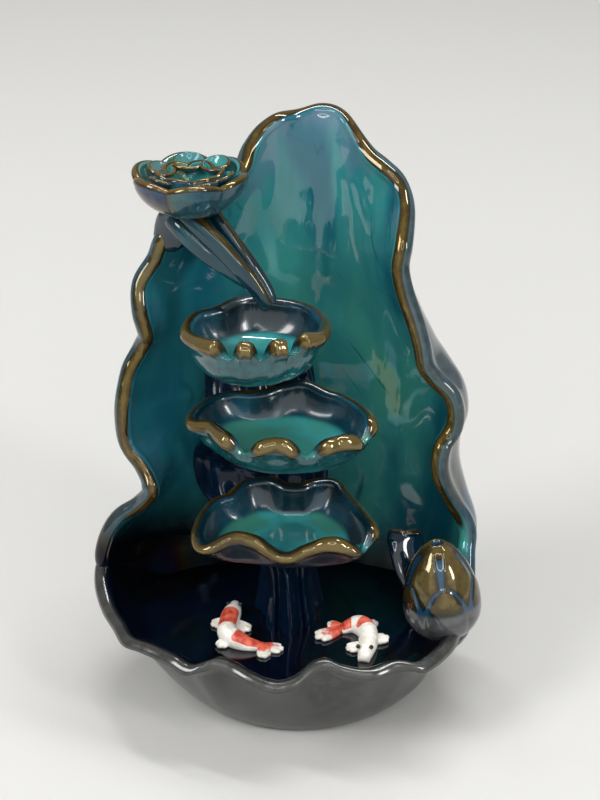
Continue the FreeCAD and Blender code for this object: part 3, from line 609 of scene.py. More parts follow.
# Crest of the leaf's edge, as shares of the half width, millimetres in front of the back, and shares of
# the height. It runs from the lower left up the left edge, over the tip, down the right edge and under.
LEAF_EDGE = [
    (-1.06, 30, 0.14), (-1.12, 35, 0.195), (-1.135, 37, 0.23), (-1.10, 36.5, 0.27), (-1.035, 36, 0.30),
    (-0.93, 36, 0.325), (-0.85, 38, 0.36), (-0.85, 38, 0.39), (-0.91, 34, 0.42), (-0.99, 31, 0.45),
    (-1.00, 32, 0.50), (-0.985, 32, 0.545), (-0.955, 29, 0.585), (-0.89, 27, 0.62), (-0.84, 30, 0.66),
    (-0.86, 32, 0.71), (-0.86, 29, 0.75), (-0.78, 26, 0.785), (-0.71, 27, 0.83), (-0.53, 19, 0.865),
    (-0.30, 11, 0.915), (-0.24, 7, 0.95), (-0.18, 4, 0.975), (-0.10, 2, 0.99), (0.0, -1, 0.995),
    (0.11, -3, 1.005), (0.20, -2, 1.0), (0.26, 1, 0.98), (0.34, 5, 0.94), (0.435, 10, 0.92),
    (0.52, 14, 0.90), (0.55, 20, 0.875), (0.535, 28, 0.83), (0.52, 30, 0.79), (0.555, 32, 0.745),
    (0.62, 34, 0.695), (0.665, 35, 0.655), (0.70, 36, 0.615), (0.775, 35, 0.58), (0.86, 36, 0.55),
    (0.875, 37, 0.51), (0.81, 41, 0.48), (0.79, 42, 0.44), (0.81, 42, 0.40), (0.89, 38, 0.34),
    (0.96, 38, 0.295), (0.95, 42, 0.26), (0.94, 48, 0.21), (0.93, 51, 0.15), (0.86, 48, 0.095),
    (0.70, 38, 0.05), (0.40, 18, 0.03), (0.0, 7, 0.024), (-0.38, 12, 0.03), (-0.70, 20, 0.055),
    (-0.94, 26, 0.095),
]
LEAF_RINGS = 44
# Lean of the back, power of the wall's forward curve, and over how many neighbours its plan is evened
LEAF_LEAN = 0.03
LEAF_CUPPING = 1.8
LEAF_CALM = 16
# Place of the middle and size of the innermost ring, as shares of the leaf's half width and height
LEAF_MIDDLE = (-0.033, 0.5)
LEAF_START = (0.05, 0.20)
# How soon the wall reaches its rim, on the left and on the right
LEAF_CURL = (0.6, 1.9)


def leaf_inner_rings():
    """Rings of the leaf's inside, from the middle of its back to the root of its lip."""
    middle = Vector((LEAF_MIDDLE[0] * LEAF_HALF_WIDTH, LEAF_BACK, LEAF_MIDDLE[1] * LEAF_TALL))
    corners = [Vector((x * LEAF_HALF_WIDTH, LEAF_BACK - y, z * LEAF_TALL)) for x, y, z in LEAF_EDGE]
    edge = smooth_loop(corners, AROUND_LEAF)
    rings = []
    calm = evened(edge, LEAF_CALM)
    for step in range(LEAF_RINGS + 1):
        share = step / LEAF_RINGS
        ring = []
        for crest, even in zip(edge, calm):
            crest = blend(even, crest, share ** 3)
            angle = math.atan2(crest.z - middle.z, crest.x - middle.x)
            start_x = middle.x + LEAF_START[0] * LEAF_HALF_WIDTH * math.cos(angle)
            start_z = middle.z + LEAF_START[1] * LEAF_TALL * math.sin(angle)
            inward = Vector((middle.x - crest.x, 0, middle.z - crest.z)).normalized()
            rim = crest + inward * (LIP_INSET * LEAF_LIP) + Vector((0, LIP_SETBACK * LEAF_LIP, 0))
            curl = blend(*LEAF_CURL, max(0.0, math.cos(angle)) ** 1.5)
            reach = share * (1 + curl * (1 - share))
            x = blend(start_x, rim.x, reach)
            z = blend(start_z, rim.z, reach)
            plane = LEAF_BACK + LEAF_LEAN * (z - middle.z)
            rim_plane = LEAF_BACK + LEAF_LEAN * (rim.z - middle.z)
            ring.append(Vector((x, plane + (rim.y - rim_plane) * share ** LEAF_CUPPING, z)))
        rings.append(ring)
    return rings


# Low folds and veins of the wall: its line of places right and up, its width and its rise in millimetres
LEAF_FOLDS = [
    ([(6, 184), (5, 160), (3.5, 126), (6, 100)], 2.6, 0.7),
    ([(18, 172), (24, 150), (29, 120), (31, 80)], 3.0, 0.8),
    ([(-12, 178), (-14, 160), (-11, 138)], 3.5, 0.5),
    ([(-36, 84), (-34, 66), (-29, 48)], 1.8, 0.9),
    ([(-41, 80), (-37, 60), (-33, 44)], 1.8, 0.8),
    ([(-52, 66), (-46, 58), (-38, 50), (-30, 36)], 3.0, 1.3),
    ([(-58, 44), (-48, 42), (-38, 38)], 2.4, -0.9),
    ([(44, 92), (38, 76), (36, 56)], 4.0, 0.9),
    ([(40, 118), (34, 104), (33, 88)], 3.5, -0.7),
    ([(-46, 128), (-38, 116), (-36, 98)], 4.0, 0.6),
]
# Waves of hand-made clay: how many to a millimetre and how high, the deepest that a fold may be, and how
# much sooner than the middle of the wall's rings the folds are fullest
LEAF_WAVES = ((0.045, 0.7), (0.13, 0.22))
DEEPEST_FOLD = -1.2
FOLDS_SOONER = 1.15


def rippled(rings, heart):
    """The leaf's inside with its low folds and the slight waves of hand-made clay."""
    result = []
    for k, (ring, facing) in enumerate(zip(rings, normals(rings, heart))):
        calm = math.sin(math.pi * min(1.0, FOLDS_SOONER * k / len(rings))) ** 0.5 if k else 0.0
        row = []
        for point, outward in zip(ring, facing):
            rise = sum(height * bell(off_line(point.x, point.z, line), width)
                       for line, width, height in LEAF_FOLDS)
            rise += sum(height * wave.noise(point * scale) for scale, height in LEAF_WAVES)
            row.append(point - outward * (max(rise, DEEPEST_FOLD) * calm))
        result.append(row)
    return result


# The bronze on the leaf's lip: how far it runs inside and outside, where on the lip's turn it shows most
# and how far round, in degrees, and from where to where up the edge it comes in, in millimetres
LEAF_BAND = (2.2, 1.0)
LEAF_BRONZE_TURN = 112
LEAF_SPREAD = 48
BRONZE_STARTS = (52, 70)


def make_leaf():
    """The tall leaf."""
    shell = bmesh.new()
    heart = Vector((0, 0, LEAF_TALL / 2))
    inner = leaf_inner_rings()
    rings, marks = dish(inner, LEAF_WALL, LEAF_LIP, heart, LEAF_BAND, LEAF_BRONZE_TURN, spread=LEAF_SPREAD)
    rings[:len(inner)] = rippled(inner, heart)
    marks["rim"] = [[value * soft_step(point.z, *BRONZE_STARTS) for value, point in zip(row, ring)]
                    for row, ring in zip(marks["rim"], rings)]
    add_skin(shell, *closed(rings, marks))
    return piece("leaf", shell, leaf_glaze, "ceramic_burner")


make_leaf()

# Basin: a shallow round bowl on a rounded base, with a ruffled front edge

AROUND_BASIN = 400
BASIN_HALF_WIDTH = 66.0
BASIN_REACH = 56.0
BASIN_DEPTH = 9.0
BASIN_LIP = 5.6
FOOT_HALF_WIDTH = 37.0
FOOT_HALF_DEPTH = 36.0
# Crest of the basin's edge, as shares of its half width and of its front reach, with its rise in
# millimetres. It runs from the left round the front to the right, then low behind the leaf.
BASIN_EDGE = [
    (-1.03, 0.06, 8.0), (-1.035, -0.10, 4.0), (-0.985, -0.28, 0.0), (-0.915, -0.45, -1.0),
    (-0.855, -0.60, -1.5), (-0.765, -0.68, -1.0), (-0.68, -0.75, -1.0), (-0.61, -0.82, -1.0),
    (-0.54, -0.875, -2.0), (-0.47, -0.885, -0.5), (-0.40, -0.86, 0.0), (-0.325, -0.885, -1.0),
    (-0.25, -0.945, -2.0), (-0.175, -0.99, -3.0), (-0.11, -1.005, -3.5), (-0.05, -0.99, -3.2),
    (0.0, -0.955, -2.2), (0.06, -0.90, 0.0), (0.13, -0.88, 0.5), (0.20, -0.915, -0.5),
    (0.28, -0.94, -1.0), (0.35, -0.94, -1.0), (0.425, -0.90, -0.5), (0.50, -0.885, 0.0),
    (0.575, -0.88, -1.0), (0.63, -0.83, -1.0), (0.69, -0.73, -1.5), (0.75, -0.59, -2.0),
    (0.79, -0.39, -2.0), (0.80, -0.14, -3.0), (0.78, 0.12, -5.0), (0.66, 0.36, -8.0),
    (0.38, 0.53, -9.6), (0.0, 0.565, -9.6), (-0.42, 0.53, -9.6), (-0.76, 0.41, -6.0),
    (-0.95, 0.24, 4.0),
]
BASIN_CENTRE = Vector((-4, -6, 0))
BASE_STEPS = 16
WALL_STEPS = 14
CALM_NEIGHBOURS = 29
# The leaf's wrap round the base: how far it stands out, the angle where it starts at the foot, how far
# that leans back up the base, how soft its edge is, and from where to where it ends behind, in degrees
WRAP_RISE = 2.4
WRAP_START = -52
WRAP_LEAN = 34
WRAP_SOFTNESS = 4
WRAP_END = (102, 126)
# Shape of the base's side and of the wall inside, as powers of the share of their height, how the base's
# rings close up to its foot, and how far up and out the last of them lies
BASE_SWELL = 0.62
WALL_SWELL = 1.7
BASE_CLOSING = 1.6
BASE_TOP = 0.88
BASE_OUT = 0.97
# Shape of the lip's crest, and the wall's root and drop inside the crest as shares of the lip
CREST_FULLNESS = 1.2
ROOT_INSET = 0.62
ROOT_DROP = 0.8
# Where the wall inside starts, as a share of the way from the middle to its root, and how much of the
# rest of that way it takes
WALL_FOOT = 0.84
WALL_HEAD = 0.94
# Waves of the hand-made floor to a millimetre and their height, and the rings of the floor and foot
FLOOR_WAVES = 0.06
FLOOR_WAVE_RISE = 0.35
FLOOR_SHARES = (0.9, 0.8, 0.7, 0.6, 0.5, 0.4, 0.3, 0.2, 0.1)
FOOT_SHARES = (0.4, 0.96)


def wrap_rise(angle, share):
    """How far the base stands out at an angle and a share of its height where the leaf wraps it."""
    degrees = math.degrees(angle)
    if abs(degrees) > WRAP_END[1]:
        return 0.0
    past = degrees - WRAP_START - WRAP_LEAN * share
    fade = 1 - soft_step(degrees, *WRAP_END)
    return WRAP_RISE * fade * min(1, 3 * share) / (1 + math.exp(-past / WRAP_SOFTNESS))


def floor_wave(place):
    """The slight rise and fall of the hand-made floor."""
    return FLOOR_WAVE_RISE * wave.noise(place * FLOOR_WAVES)


def basin_rings():
    """Rings and marks of the basin, from the middle of its foot, over its lip, to its floor."""
    height = FLOOR_HEIGHT + BASIN_DEPTH
    corners = [Vector((x * BASIN_HALF_WIDTH, y * BASIN_REACH, height + rise)) for x, y, rise in BASIN_EDGE]
    edge = smooth_loop(corners, AROUND_BASIN)
    outer_shares = [(k / BASE_STEPS) ** BASE_CLOSING * BASE_TOP for k in range(BASE_STEPS + 1)]
    inner_shares = [1 - k / WALL_STEPS for k in range(WALL_STEPS + 1)]
    outer = [[] for share in outer_shares]
    lips = [[] for degrees in LIP_DEGREES]
    inner = [[] for share in inner_shares]
    for i, crest in enumerate(edge):
        near = [edge[(i + step) % AROUND_BASIN] for step in range(-CALM_NEIGHBOURS, CALM_NEIGHBOURS + 1, 2)]
        calm = sum(near, Vector((0, 0, 0))) / len(near)
        calm.z = 0
        angle = math.atan2(crest.y, crest.x)
        foot = Vector((FOOT_HALF_WIDTH * math.cos(angle), FOOT_HALF_DEPTH * math.sin(angle), 0))
        flat = Vector((crest.x, crest.y, 0))
        inward = (BASIN_CENTRE - flat).normalized()
        for k, share in enumerate(outer_shares):
            lobed = blend(calm, flat, share ** 2)
            out = blend(foot, lobed, BASE_OUT * share ** BASE_SWELL) - inward * wrap_rise(angle, share)
            outer[k].append(Vector((out.x, out.y, share * crest.z)))
        for k, degrees in enumerate(reversed(LIP_DEGREES)):
            turned = math.radians(degrees)
            lips[k].append(crest - inward * (LIP_INSET * BASIN_LIP * math.cos(turned))
                           + UP * (BASIN_LIP / 2 * (CREST_FULLNESS * math.sin(turned) - 1)))
        root = flat + inward * (ROOT_INSET * BASIN_LIP)
        bottom = blend(BASIN_CENTRE, root, WALL_FOOT)
        rise = max(0.0, crest.z - ROOT_DROP * BASIN_LIP - FLOOR_HEIGHT)
        for k, share in enumerate(inner_shares):
            place = blend(bottom, root, share * WALL_HEAD)
            wave_rise = floor_wave(place) * min(1.0, 3 * (1 - share))
            inner[k].append(Vector((place.x, place.y, FLOOR_HEIGHT + rise * share ** WALL_SWELL + wave_rise)))
    floor = []
    for share in FLOOR_SHARES:
        ring = [blend(BASIN_CENTRE, Vector((point.x, point.y, 0)), share) for point in inner[-1]]
        floor.append([point + UP * (FLOOR_HEIGHT + floor_wave(point)) for point in ring])
    foot_face = [[Vector((p.x * share, p.y * share, 0)) for p in outer[0]] for share in FOOT_SHARES]
    rings = foot_face + outer + lips + inner + floor
    backs = [[1.0] * AROUND_BASIN for ring in foot_face + outer]
    backs += [[1 - k / len(lips)] * AROUND_BASIN for k in range(len(lips))]
    backs += [[0.0] * AROUND_BASIN for ring in inner + floor]
    rims = [[0.0] * AROUND_BASIN for ring in rings]
    return closed(rings, {"rim": rims, "back": backs})


def make_basin():
    """The basin with its base."""
    shell = bmesh.new()
    add_skin(shell, *basin_rings())
    return piece("basin", shell, basin_glaze, "ceramic_burner")


make_basin()

# Cups: three leaves that hold the smoke, each with low notches where it spills over the lip

AROUND_CUP = 288
CUP_WALL = 3.2
CUP_LIP = 4.6
# For each cup its middle, half width, height and depth, the crest of its rim as shares of the half width
# and millimetres above its height, the places of its notches in degrees round the middle, and the width
# of a notch. Each rim runs from its right end round the back to the left and along the front.
CUPS = {
    "upper_cup": ((-14.6, -11.0), 22.5, 140.0, 15.0, [
        (1.00, 0.04, 0.0), (0.92, 0.38, 0.3), (0.78, 0.59, 0.8), (0.55, 0.74, 1.0),
        (0.24, 0.82, 1.2), (-0.04, 0.86, 1.6), (-0.29, 0.76, 1.5), (-0.51, 0.55, 0.8),
        (-0.69, 0.44, 0.5), (-0.85, 0.34, 0.5), (-0.94, 0.04, 0.4), (-0.92, -0.28, 0.2),
        (-0.71, -0.60, 0.6), (-0.53, -0.76, 0.2), (-0.36, -0.86, -1.5), (-0.12, -0.89, 1.5),
        (0.13, -0.88, -1.3), (0.35, -0.81, 1.5), (0.57, -0.69, -1.3), (0.76, -0.51, 0.8),
        (0.93, -0.32, 0.3),
    ], (-112, -81.5, -50), 2.5),
    "middle_cup": ((-6.4, -8.5), 29.5, 107.0, 13.0, [
        (0.99, -0.27, 0.0), (0.93, 0.07, 0.4), (0.75, 0.35, 1.0), (0.56, 0.47, 1.3),
        (0.29, 0.63, 3.0), (0.05, 0.63, 2.0), (-0.17, 0.53, 1.0), (-0.41, 0.47, 0.8),
        (-0.68, 0.47, 0.8), (-0.87, 0.29, 0.5), (-0.99, -0.07, 0.2), (-0.78, -0.26, 0.9),
        (-0.64, -0.50, 1.0), (-0.53, -0.64, 0.4), (-0.42, -0.73, -1.4), (-0.27, -0.76, 0.1),
        (-0.06, -0.76, 1.9), (0.12, -0.78, 1.2), (0.22, -0.80, -0.7), (0.33, -0.80, -1.6),
        (0.49, -0.73, -0.4), (0.63, -0.66, 0.8), (0.78, -0.60, 0.9), (0.93, -0.49, 0.0),
    ], (-119, -68, -24), 5.2),
    "lower_cup": ((-5.2, -8.0), 29.0, 70.0, 11.5, [
        (0.99, -0.45, 0.0), (0.92, -0.12, 0.4), (0.83, 0.13, 0.9), (0.70, 0.38, 1.9),
        (0.62, 0.53, 3.5), (0.43, 0.54, 3.2), (0.27, 0.47, 2.4), (-0.02, 0.49, 2.4),
        (-0.19, 0.59, 3.2), (-0.34, 0.61, 3.2), (-0.50, 0.55, 2.6), (-0.67, 0.29, 1.5),
        (-0.83, 0.20, 1.0), (-0.93, -0.02, 0.6), (-0.98, -0.29, 0.4), (-0.99, -0.50, 0.1),
        (-0.93, -0.66, -0.5), (-0.72, -0.60, 1.0), (-0.58, -0.60, 1.8), (-0.43, -0.65, 1.8),
        (-0.28, -0.71, 1.3), (-0.15, -0.78, -0.2), (0.02, -0.85, -1.2), (0.20, -0.78, -0.6),
        (0.34, -0.74, 0.0), (0.48, -0.72, 1.0), (0.62, -0.71, 1.3), (0.76, -0.70, 0.3),
        (0.92, -0.71, -1.4),
    ], (-34,), 5.0),
}
CUP_RINGS = 26
# How full of glaze a cup is, and how sharply its wall rises from the pool
POOL_SHARE = 0.42
POOL_EDGE = 6.0
# How deep a notch is under the rim's level, and how high and round the arches rise between the notches.
# The lip is thicker by a share of itself on the arches within a width of a notch, in millimetres.
NOTCH_DEPTH = 2.4
ARCH_RISE = 4.2
ARCH_ROUNDNESS = 0.75
ARCH_SWELL = 0.5
ARCH_WIDTH = 10
# The bronze on a cup's lip: how far it runs inside and outside, and where and how far round it shows
CUP_BAND = (1.2, 1.8)
CUP_BRONZE_TURN = 64
CUP_SPREAD = 72
# How full the wall is between the middle and the rim, over how many neighbours its plan is evened, how
# far the outside's heights are evened and over how many neighbours, and from where to where above the
# pool the wall turns dark
CUP_FULLNESS = 0.35
CUP_CALM = 26
OUTSIDE_CALM = (0.85, 20)
WALL_STARTS = (0.4, 3.6)


def make_cup(name, middle, half_width, height, depth, edge, notches, notch_width):
    """One cup with its rolled lip, which rises in round arches between its notches."""
    middle = Vector((*middle, height))
    water = height - LIP_INSET * CUP_LIP - depth + POOL_SHARE * depth
    corners = [middle + Vector((x * half_width, y * half_width, rise)) for x, y, rise in edge]
    crests = smooth_loop(corners, AROUND_CUP)
    pinch = []
    for crest in crests:
        degrees = math.degrees(math.atan2(crest.y - middle.y, crest.x - middle.x))
        turned = min(abs((degrees - notch + 180) % 360 - 180) for notch in notches)
        apart = math.radians(turned) * half_width
        clear = 1 - bell(apart, notch_width)
        arch = height - NOTCH_DEPTH + ARCH_RISE * clear ** ARCH_ROUNDNESS
        crest.z = blend(crest.z, arch, bell(apart, 3.0 + 1.5 * notch_width))
        pinch.append(bell(apart, 0.5 * notch_width) - ARCH_SWELL * bell(apart, ARCH_WIDTH) * clear)
    calm = evened(crests, CUP_CALM)
    inner = []
    for step in range(1, CUP_RINGS + 1):
        share = step / CUP_RINGS
        ring = []
        for crest, even in zip(crests, calm):
            crest = blend(even, crest, share ** 3)
            inward = Vector((middle.x - crest.x, middle.y - crest.y, 0)).normalized()
            rim = crest + inward * (LIP_INSET * CUP_LIP) - UP * (LIP_INSET * CUP_LIP)
            place = blend(middle, rim, share * (1 + CUP_FULLNESS * (1 - share)))
            ring.append(Vector((place.x, place.y, water + (rim.z - water) * share ** POOL_EDGE)))
        inner.append(ring)
    shell = bmesh.new()
    rings, marks = dish(inner, CUP_WALL, CUP_LIP, middle, CUP_BAND, CUP_BRONZE_TURN, pinch, OUTSIDE_CALM,
                        CUP_SPREAD, POOL_SHARE * depth - CUP_WALL)
    wall_from, wall_to = (water + rise for rise in WALL_STARTS)
    marks["wall"] = [[soft_step(point.z, wall_from, wall_to) * max(0.0, 1 - pinched)
                      for point, pinched in zip(ring, pinch)] for ring in rings]
    add_skin(shell, *closed(rings, marks))
    # The lower cup takes the copy of the glaze with painted shade on its outside and wall.
    finish = low_cup_painted_shade_glaze if name == "lower_cup" else cup_glaze
    return piece(name, shell, finish, "ceramic_burner")


for cup_name, cup_facts in CUPS.items():
    make_cup(cup_name, *cup_facts)

# Stalk: a fluted stem from the basin floor, behind the cups, to the lotus

AROUND_STALK = 144
# Height, middle x and y, half width and half depth of the stalk's level sections
STALK = [
    (24, -4, 6, 11.9, 27), (30, -4, 6, 10.9, 27), (42, -4, 7, 9.0, 26), (53, -5, 9, 10.5, 24),
    (62, -12, 19, 20, 15), (75, -13.5, 22.8, 21.8, 10), (88, -13, 15, 18, 18), (98, -13, 20, 18, 14),
    (110, -14, 24, 17, 11), (118, -15, 12, 14.3, 20), (125, -15, 15, 13.3, 18), (131, -15, 25, 9.5, 9),
]
STALK_RINGS = 70
# The stalk's broad and narrow flutes: how many, how deep, and how they turn with each millimetre up
FLUTES = ((9, 0.09, 0.03), (23, 0.02, 0.1))
# From where to where up the stalk it turns from the glaze of its pools to the plain one of its back
STALK_DULL = (44, 66)
# The hollow that the stalk keeps clear of: how far over a cup's rim it reaches as a share of the depth,
# the power and the fullness of its side, its inset from the crest and the place in the wall beyond it
HOLLOW_TOP = 1.25
HOLLOW_POWER = 2.2
HOLLOW_FULLNESS = 0.55
HOLLOW_INSET = 2.5
INTO_WALL = 1.6
AROUND_HOLLOW = 36


def clear_of_cups(point):
    """The point moved out of the hollow of a cup, into its wall."""
    for (middle_x, middle_y), half_width, height, depth, edge, notches, notch_width in CUPS.values():
        floor = height - LIP_INSET * CUP_LIP - depth
        share = (point.z - floor) / (height - LIP_INSET * CUP_LIP - floor)
        if not 0.0 < share < HOLLOW_TOP:
            continue
        share = min(share, 1.0) ** (1 / HOLLOW_POWER)
        aside = Vector((point.x - middle_x, point.y - middle_y, 0))
        rim = smooth_loop([Vector((x, y, 0)) for x, y, rise in edge], AROUND_HOLLOW)
        turned = math.atan2(aside.y, aside.x)
        nearest = min(rim, key=lambda corner: abs((math.atan2(corner.y, corner.x) - turned + math.pi)
                                                  % (2 * math.pi) - math.pi))
        side = share * (1 + HOLLOW_FULLNESS * (1 - share))
        reach = (nearest.length * half_width - HOLLOW_INSET) * side + INTO_WALL
        if aside.length < reach:
            point = point + aside.normalized() * (reach - aside.length)
    return point


def make_stalk():
    """The fluted stalk, painted navy all over as painted shade behind and between the cups."""
    sections = [Vector((x, y, z)) for z, x, y, width, depth in STALK]
    sizes = [Vector((width, depth, 0)) for z, x, y, width, depth in STALK]
    rings = []
    for middle, half in zip(smooth_line(sections, STALK_RINGS), smooth_line(sizes, STALK_RINGS)):
        ring = []
        for angle in turn(AROUND_STALK):
            flute = 1 + sum(depth * math.cos(count * angle + twist * middle.z)
                            for count, depth, twist in FLUTES)
            place = Vector((half.x * flute * math.cos(angle), half.y * flute * math.sin(angle), 0))
            ring.append(clear_of_cups(middle + place))
        rings.append(ring)
    shell = bmesh.new()
    blank = [[0.0] * AROUND_STALK for ring in rings]
    dull = [[soft_step(point.z, *STALK_DULL) for point in ring] for ring in rings]
    add_skin(shell, *closed(rings, {"rim": blank, "back": dull}))
    # The stalk's navy glaze is painted shade.
    return piece("stalk", shell, stalk_painted_shade_glaze, "ceramic_burner")


make_stalk()

# Lotus: an open flower on the stalk, with a ring of outer petals and curled inner ones for the cone

AROUND_LOTUS = 288
LOTUS_MIDDLE = Vector((-34.5, 3, 185))
LOTUS_RADIUS = 18.0
LOTUS_DEPTH = 11.0
PETAL_WALL = 3.0
PETAL_LIP = 2.7
LOTUS_RINGS = 24
# How pointed the petals are, and how their inside rises, as powers
PETAL_POINT = 0.55
PETAL_RISE = 1.7
# The bowls of outer and inner petals: radius, depth, number of petals, direction of the first, how far
# they part, how far the rim drops between them, and how full the wall is
OUTER_PETALS = (LOTUS_RADIUS - 1.7, LOTUS_DEPTH, 6, -81, 0.17, 3.2, 0.7)
INNER_PETALS = (9.3, 7.5, 6, -51, 0.2, 2.0, 0.9)
INNER_WALL = 2.4
INNER_LIP = 1.9


def petal_rings(middle, radius, depth, petals, first, ruffle, drop, spread):
    """Rings of the inside of a petalled bowl whose rim is level with the middle."""
    rings = []
    for step in range(1, LOTUS_RINGS + 1):
        share = step / LOTUS_RINGS
        ring = []
        for angle in turn(AROUND_LOTUS):
            petal = abs(math.cos(petals * (angle - math.radians(first)) / 2)) ** PETAL_POINT
            reach = radius * (1 - ruffle * share * (1 - petal))
            place = reach * share * (1 + spread * (1 - share))
            rise = (depth - drop * (1 - petal)) * share ** PETAL_RISE
            ring.append(middle + Vector((place * math.cos(angle), place * math.sin(angle), rise - depth)))
        rings.append(ring)
    return rings


# Curled inner petals: the direction of each from the flower's middle, its distance, half width and lift
CURLED_PETALS = [(95, 9.6, 4.4, 2.4), (40, 10.0, 4.2, 2.6), (-18, 10.4, 3.6, 1.2), (-62, 10.8, 3.2, 0.6),
                 (-142, 10.2, 3.6, 1.0), (158, 9.8, 4.0, 1.8)]
AROUND_CURL = 48
CURL_SHARES = (0.2, 0.45, 0.7, 0.88, 1.0)
# Depth of a curled petal, how far its tip lifts, its length as a share of its width, and how far it sinks
CURL_DEPTH = 2.6
CURL_TIP = 1.1
CURL_LENGTH = 0.8
CURL_SINK = 1.5


def make_lotus():
    """The lotus: an outer bowl of petals, an inner one that seats the cone, and curled petals between."""
    shell = bmesh.new()
    outer = petal_rings(LOTUS_MIDDLE, *OUTER_PETALS)
    add_skin(shell, *closed(*dish(outer, PETAL_WALL, PETAL_LIP, LOTUS_MIDDLE, (0.5, 1.1), 76)))
    inner = petal_rings(LOTUS_MIDDLE, *INNER_PETALS)
    add_skin(shell, *closed(*dish(inner, INNER_WALL, INNER_LIP, LOTUS_MIDDLE, (0.4, 0.6), 90)))
    for degrees, out, half_width, lift in CURLED_PETALS:
        angle = math.radians(degrees)
        ahead = Vector((math.cos(angle), math.sin(angle), 0))
        aside = Vector((-math.sin(angle), math.cos(angle), 0))
        root = LOTUS_MIDDLE + ahead * out + UP * (lift - CURL_SINK)
        curl = []
        for share in CURL_SHARES:
            curl.append([root + aside * (half_width * share * math.cos(a))
                         + ahead * (CURL_LENGTH * half_width * share * math.sin(a))
                         + UP * (CURL_DEPTH * (share ** 2 - 1) + CURL_TIP * share * math.sin(a))
                         for a in turn(AROUND_CURL)])
        add_skin(shell, *closed(*dish(curl, 1.0, 1.3, root + UP, (0.3, 0.5), 95)))
    return piece("lotus", shell, lotus_glaze, "ceramic_burner")


make_lotus()

# Spout: a folded leaf that carries the smoke from the lotus down to the upper cup, with webs and folds

# The places along the spout, its half widths and half heights there, and how deep its groove is
SPOUT = [(-35, 8, 171), (-31, 4, 168.5), (-27, 1, 165.5), (-22, -2, 161), (-17, -5, 156), (-13, -7, 151),
         (-10.5, -8.3, 147), (-9.5, -8.8, 145)]
SPOUT_HALVES = [(7.8, 7.4), (7.2, 6.9), (6.35, 6.0), (5.5, 5.2), (4.7, 4.5), (4.2, 4.0), (3.6, 3.4),
                (2.9, 2.7)]
SPOUT_GROOVE = 0.69
WEB_RIDGE = 0.95
# The webs and folds beside the spout: the places along each, and its half width and half height there
WEBS = {
    "spout_web": ([(-32.5, 20, 156.5), (-31.5, 17.5, 158.5), (-30, 14, 162), (-27.5, 7, 162),
                   (-24, 1, 160), (-20, -3, 157), (-16, -5.5, 155)],
                  [(4, 7), (5, 8), (5.5, 8), (5.5, 6), (4.5, 4.5), (3, 2.6), (2, 1.6)]),
    "side_web": ([(-45, 11, 159), (-43.2, 9.5, 161.4), (-40.8, 7.5, 165), (-37.4, 5, 169), (-35, 4, 172)],
                 [(2, 4), (2.4, 6), (3, 7), (4, 6), (4, 4)]),
    "left_fold": ([(-41, 4, 169), (-37, 0, 166), (-31, -3, 161), (-24, -5.2, 156), (-17, -7.2, 151)],
                  [(2.2, 3.0), (2.3, 3.2), (2.0, 2.8), (1.6, 2.2), (1.0, 1.4)]),
    "right_fold": ([(-29, 6, 172), (-25, 2, 167.5), (-20, -1.5, 161.5), (-15, -4.5, 155), (-11.5, -6.5, 150)],
                   [(1.8, 2.6), (1.9, 2.8), (1.6, 2.3), (1.3, 1.8), (0.8, 1.2)]),
}


def make_bar(name, places, halves, finish, groove=0.0, count=60, ridge=0.0, tip=0.0):
    """A smooth bar of oval section along the places."""
    shell = bmesh.new()
    line = smooth_line([Vector(place) for place in places], count)
    add_skin(shell, *tube(line, spaced(halves, count), groove, ridge=ridge, tip=tip))
    return piece(name, shell, finish, "ceramic_burner")


make_bar("spout", SPOUT, SPOUT_HALVES, spout_glaze, SPOUT_GROOVE)
for web_name, (web_places, web_halves) in WEBS.items():
    make_bar(web_name, web_places, web_halves, spout_glaze, count=40, ridge=WEB_RIDGE)

# Bud: a closed lotus on the right of the basin, bored for an incense stick

AROUND_BUD = 192
BUD_FOOT = Vector((49.5, -21, FLOOR_HEIGHT))
BUD_AXIS = Vector((-3.7, 3, 34)).normalized()
BUD_HEIGHT = 35.0
BUD_RADIUS = 12.35
BUD_PETAL_RISE = 0.9
STICK_RADIUS = 1.9
STICK_DEPTH = 22.0
# Shares of the bud's height and of its radius
BUD_PROFILE = [
    (0.0, 0.30), (0.06, 0.62), (0.16, 0.86), (0.28, 0.98), (0.42, 1.0), (0.56, 0.95), (0.70, 0.84),
    (0.82, 0.68), (0.91, 0.50), (0.97, 0.36), (1.0, 0.24),
]
BUD_RINGS = 70
# How bare a petal is and how much less its seams are, and between which shares of the height the seams
# fade under the tip and the plain foot, dark glaze painted pale grey as a painted reflection of the table,
# turns to petals
PETAL_BARE = 0.86
SEAM_COVER = 0.80
SEAM_FADE = (0.86, 0.96)
FOOT_FADE = (0.26, 0.54)
# The rows of petals: the direction of the first, the share of the bud's height where they end, their
# half width in degrees and their fullness, and how far the upper row stands out beside the lower one
BUD_PETALS = 5
LOWER_PETALS = (-86, 0.66, 40, 2.2)
UPPER_PETALS = (-54, 1.05, 35, 4)
UPPER_RISE = 0.55
PETAL_SOFTNESS = 2.6
# The mouth and the bore of the stick hole: depths under the tip and radii
BORE = ((-0.4, 2.8), (-0.2, 2.3), (0.3, STICK_RADIUS), (8, STICK_RADIUS), (STICK_DEPTH, STICK_RADIUS))


def petal_cover(angle, share, first, top, half_width, fullness):
    """How far a petal stands out at an angle and a share of the height: one on it, none beside it. The
    higher its fullness, the less it narrows below its top."""
    if share >= top:
        return 0.0
    half = half_width * math.sqrt(1 - (share / top) ** fullness)
    apart = (math.degrees(angle) - first + 180) % 360 - 180
    return 1 / (1 + math.exp((abs(apart) - half) / PETAL_SOFTNESS))


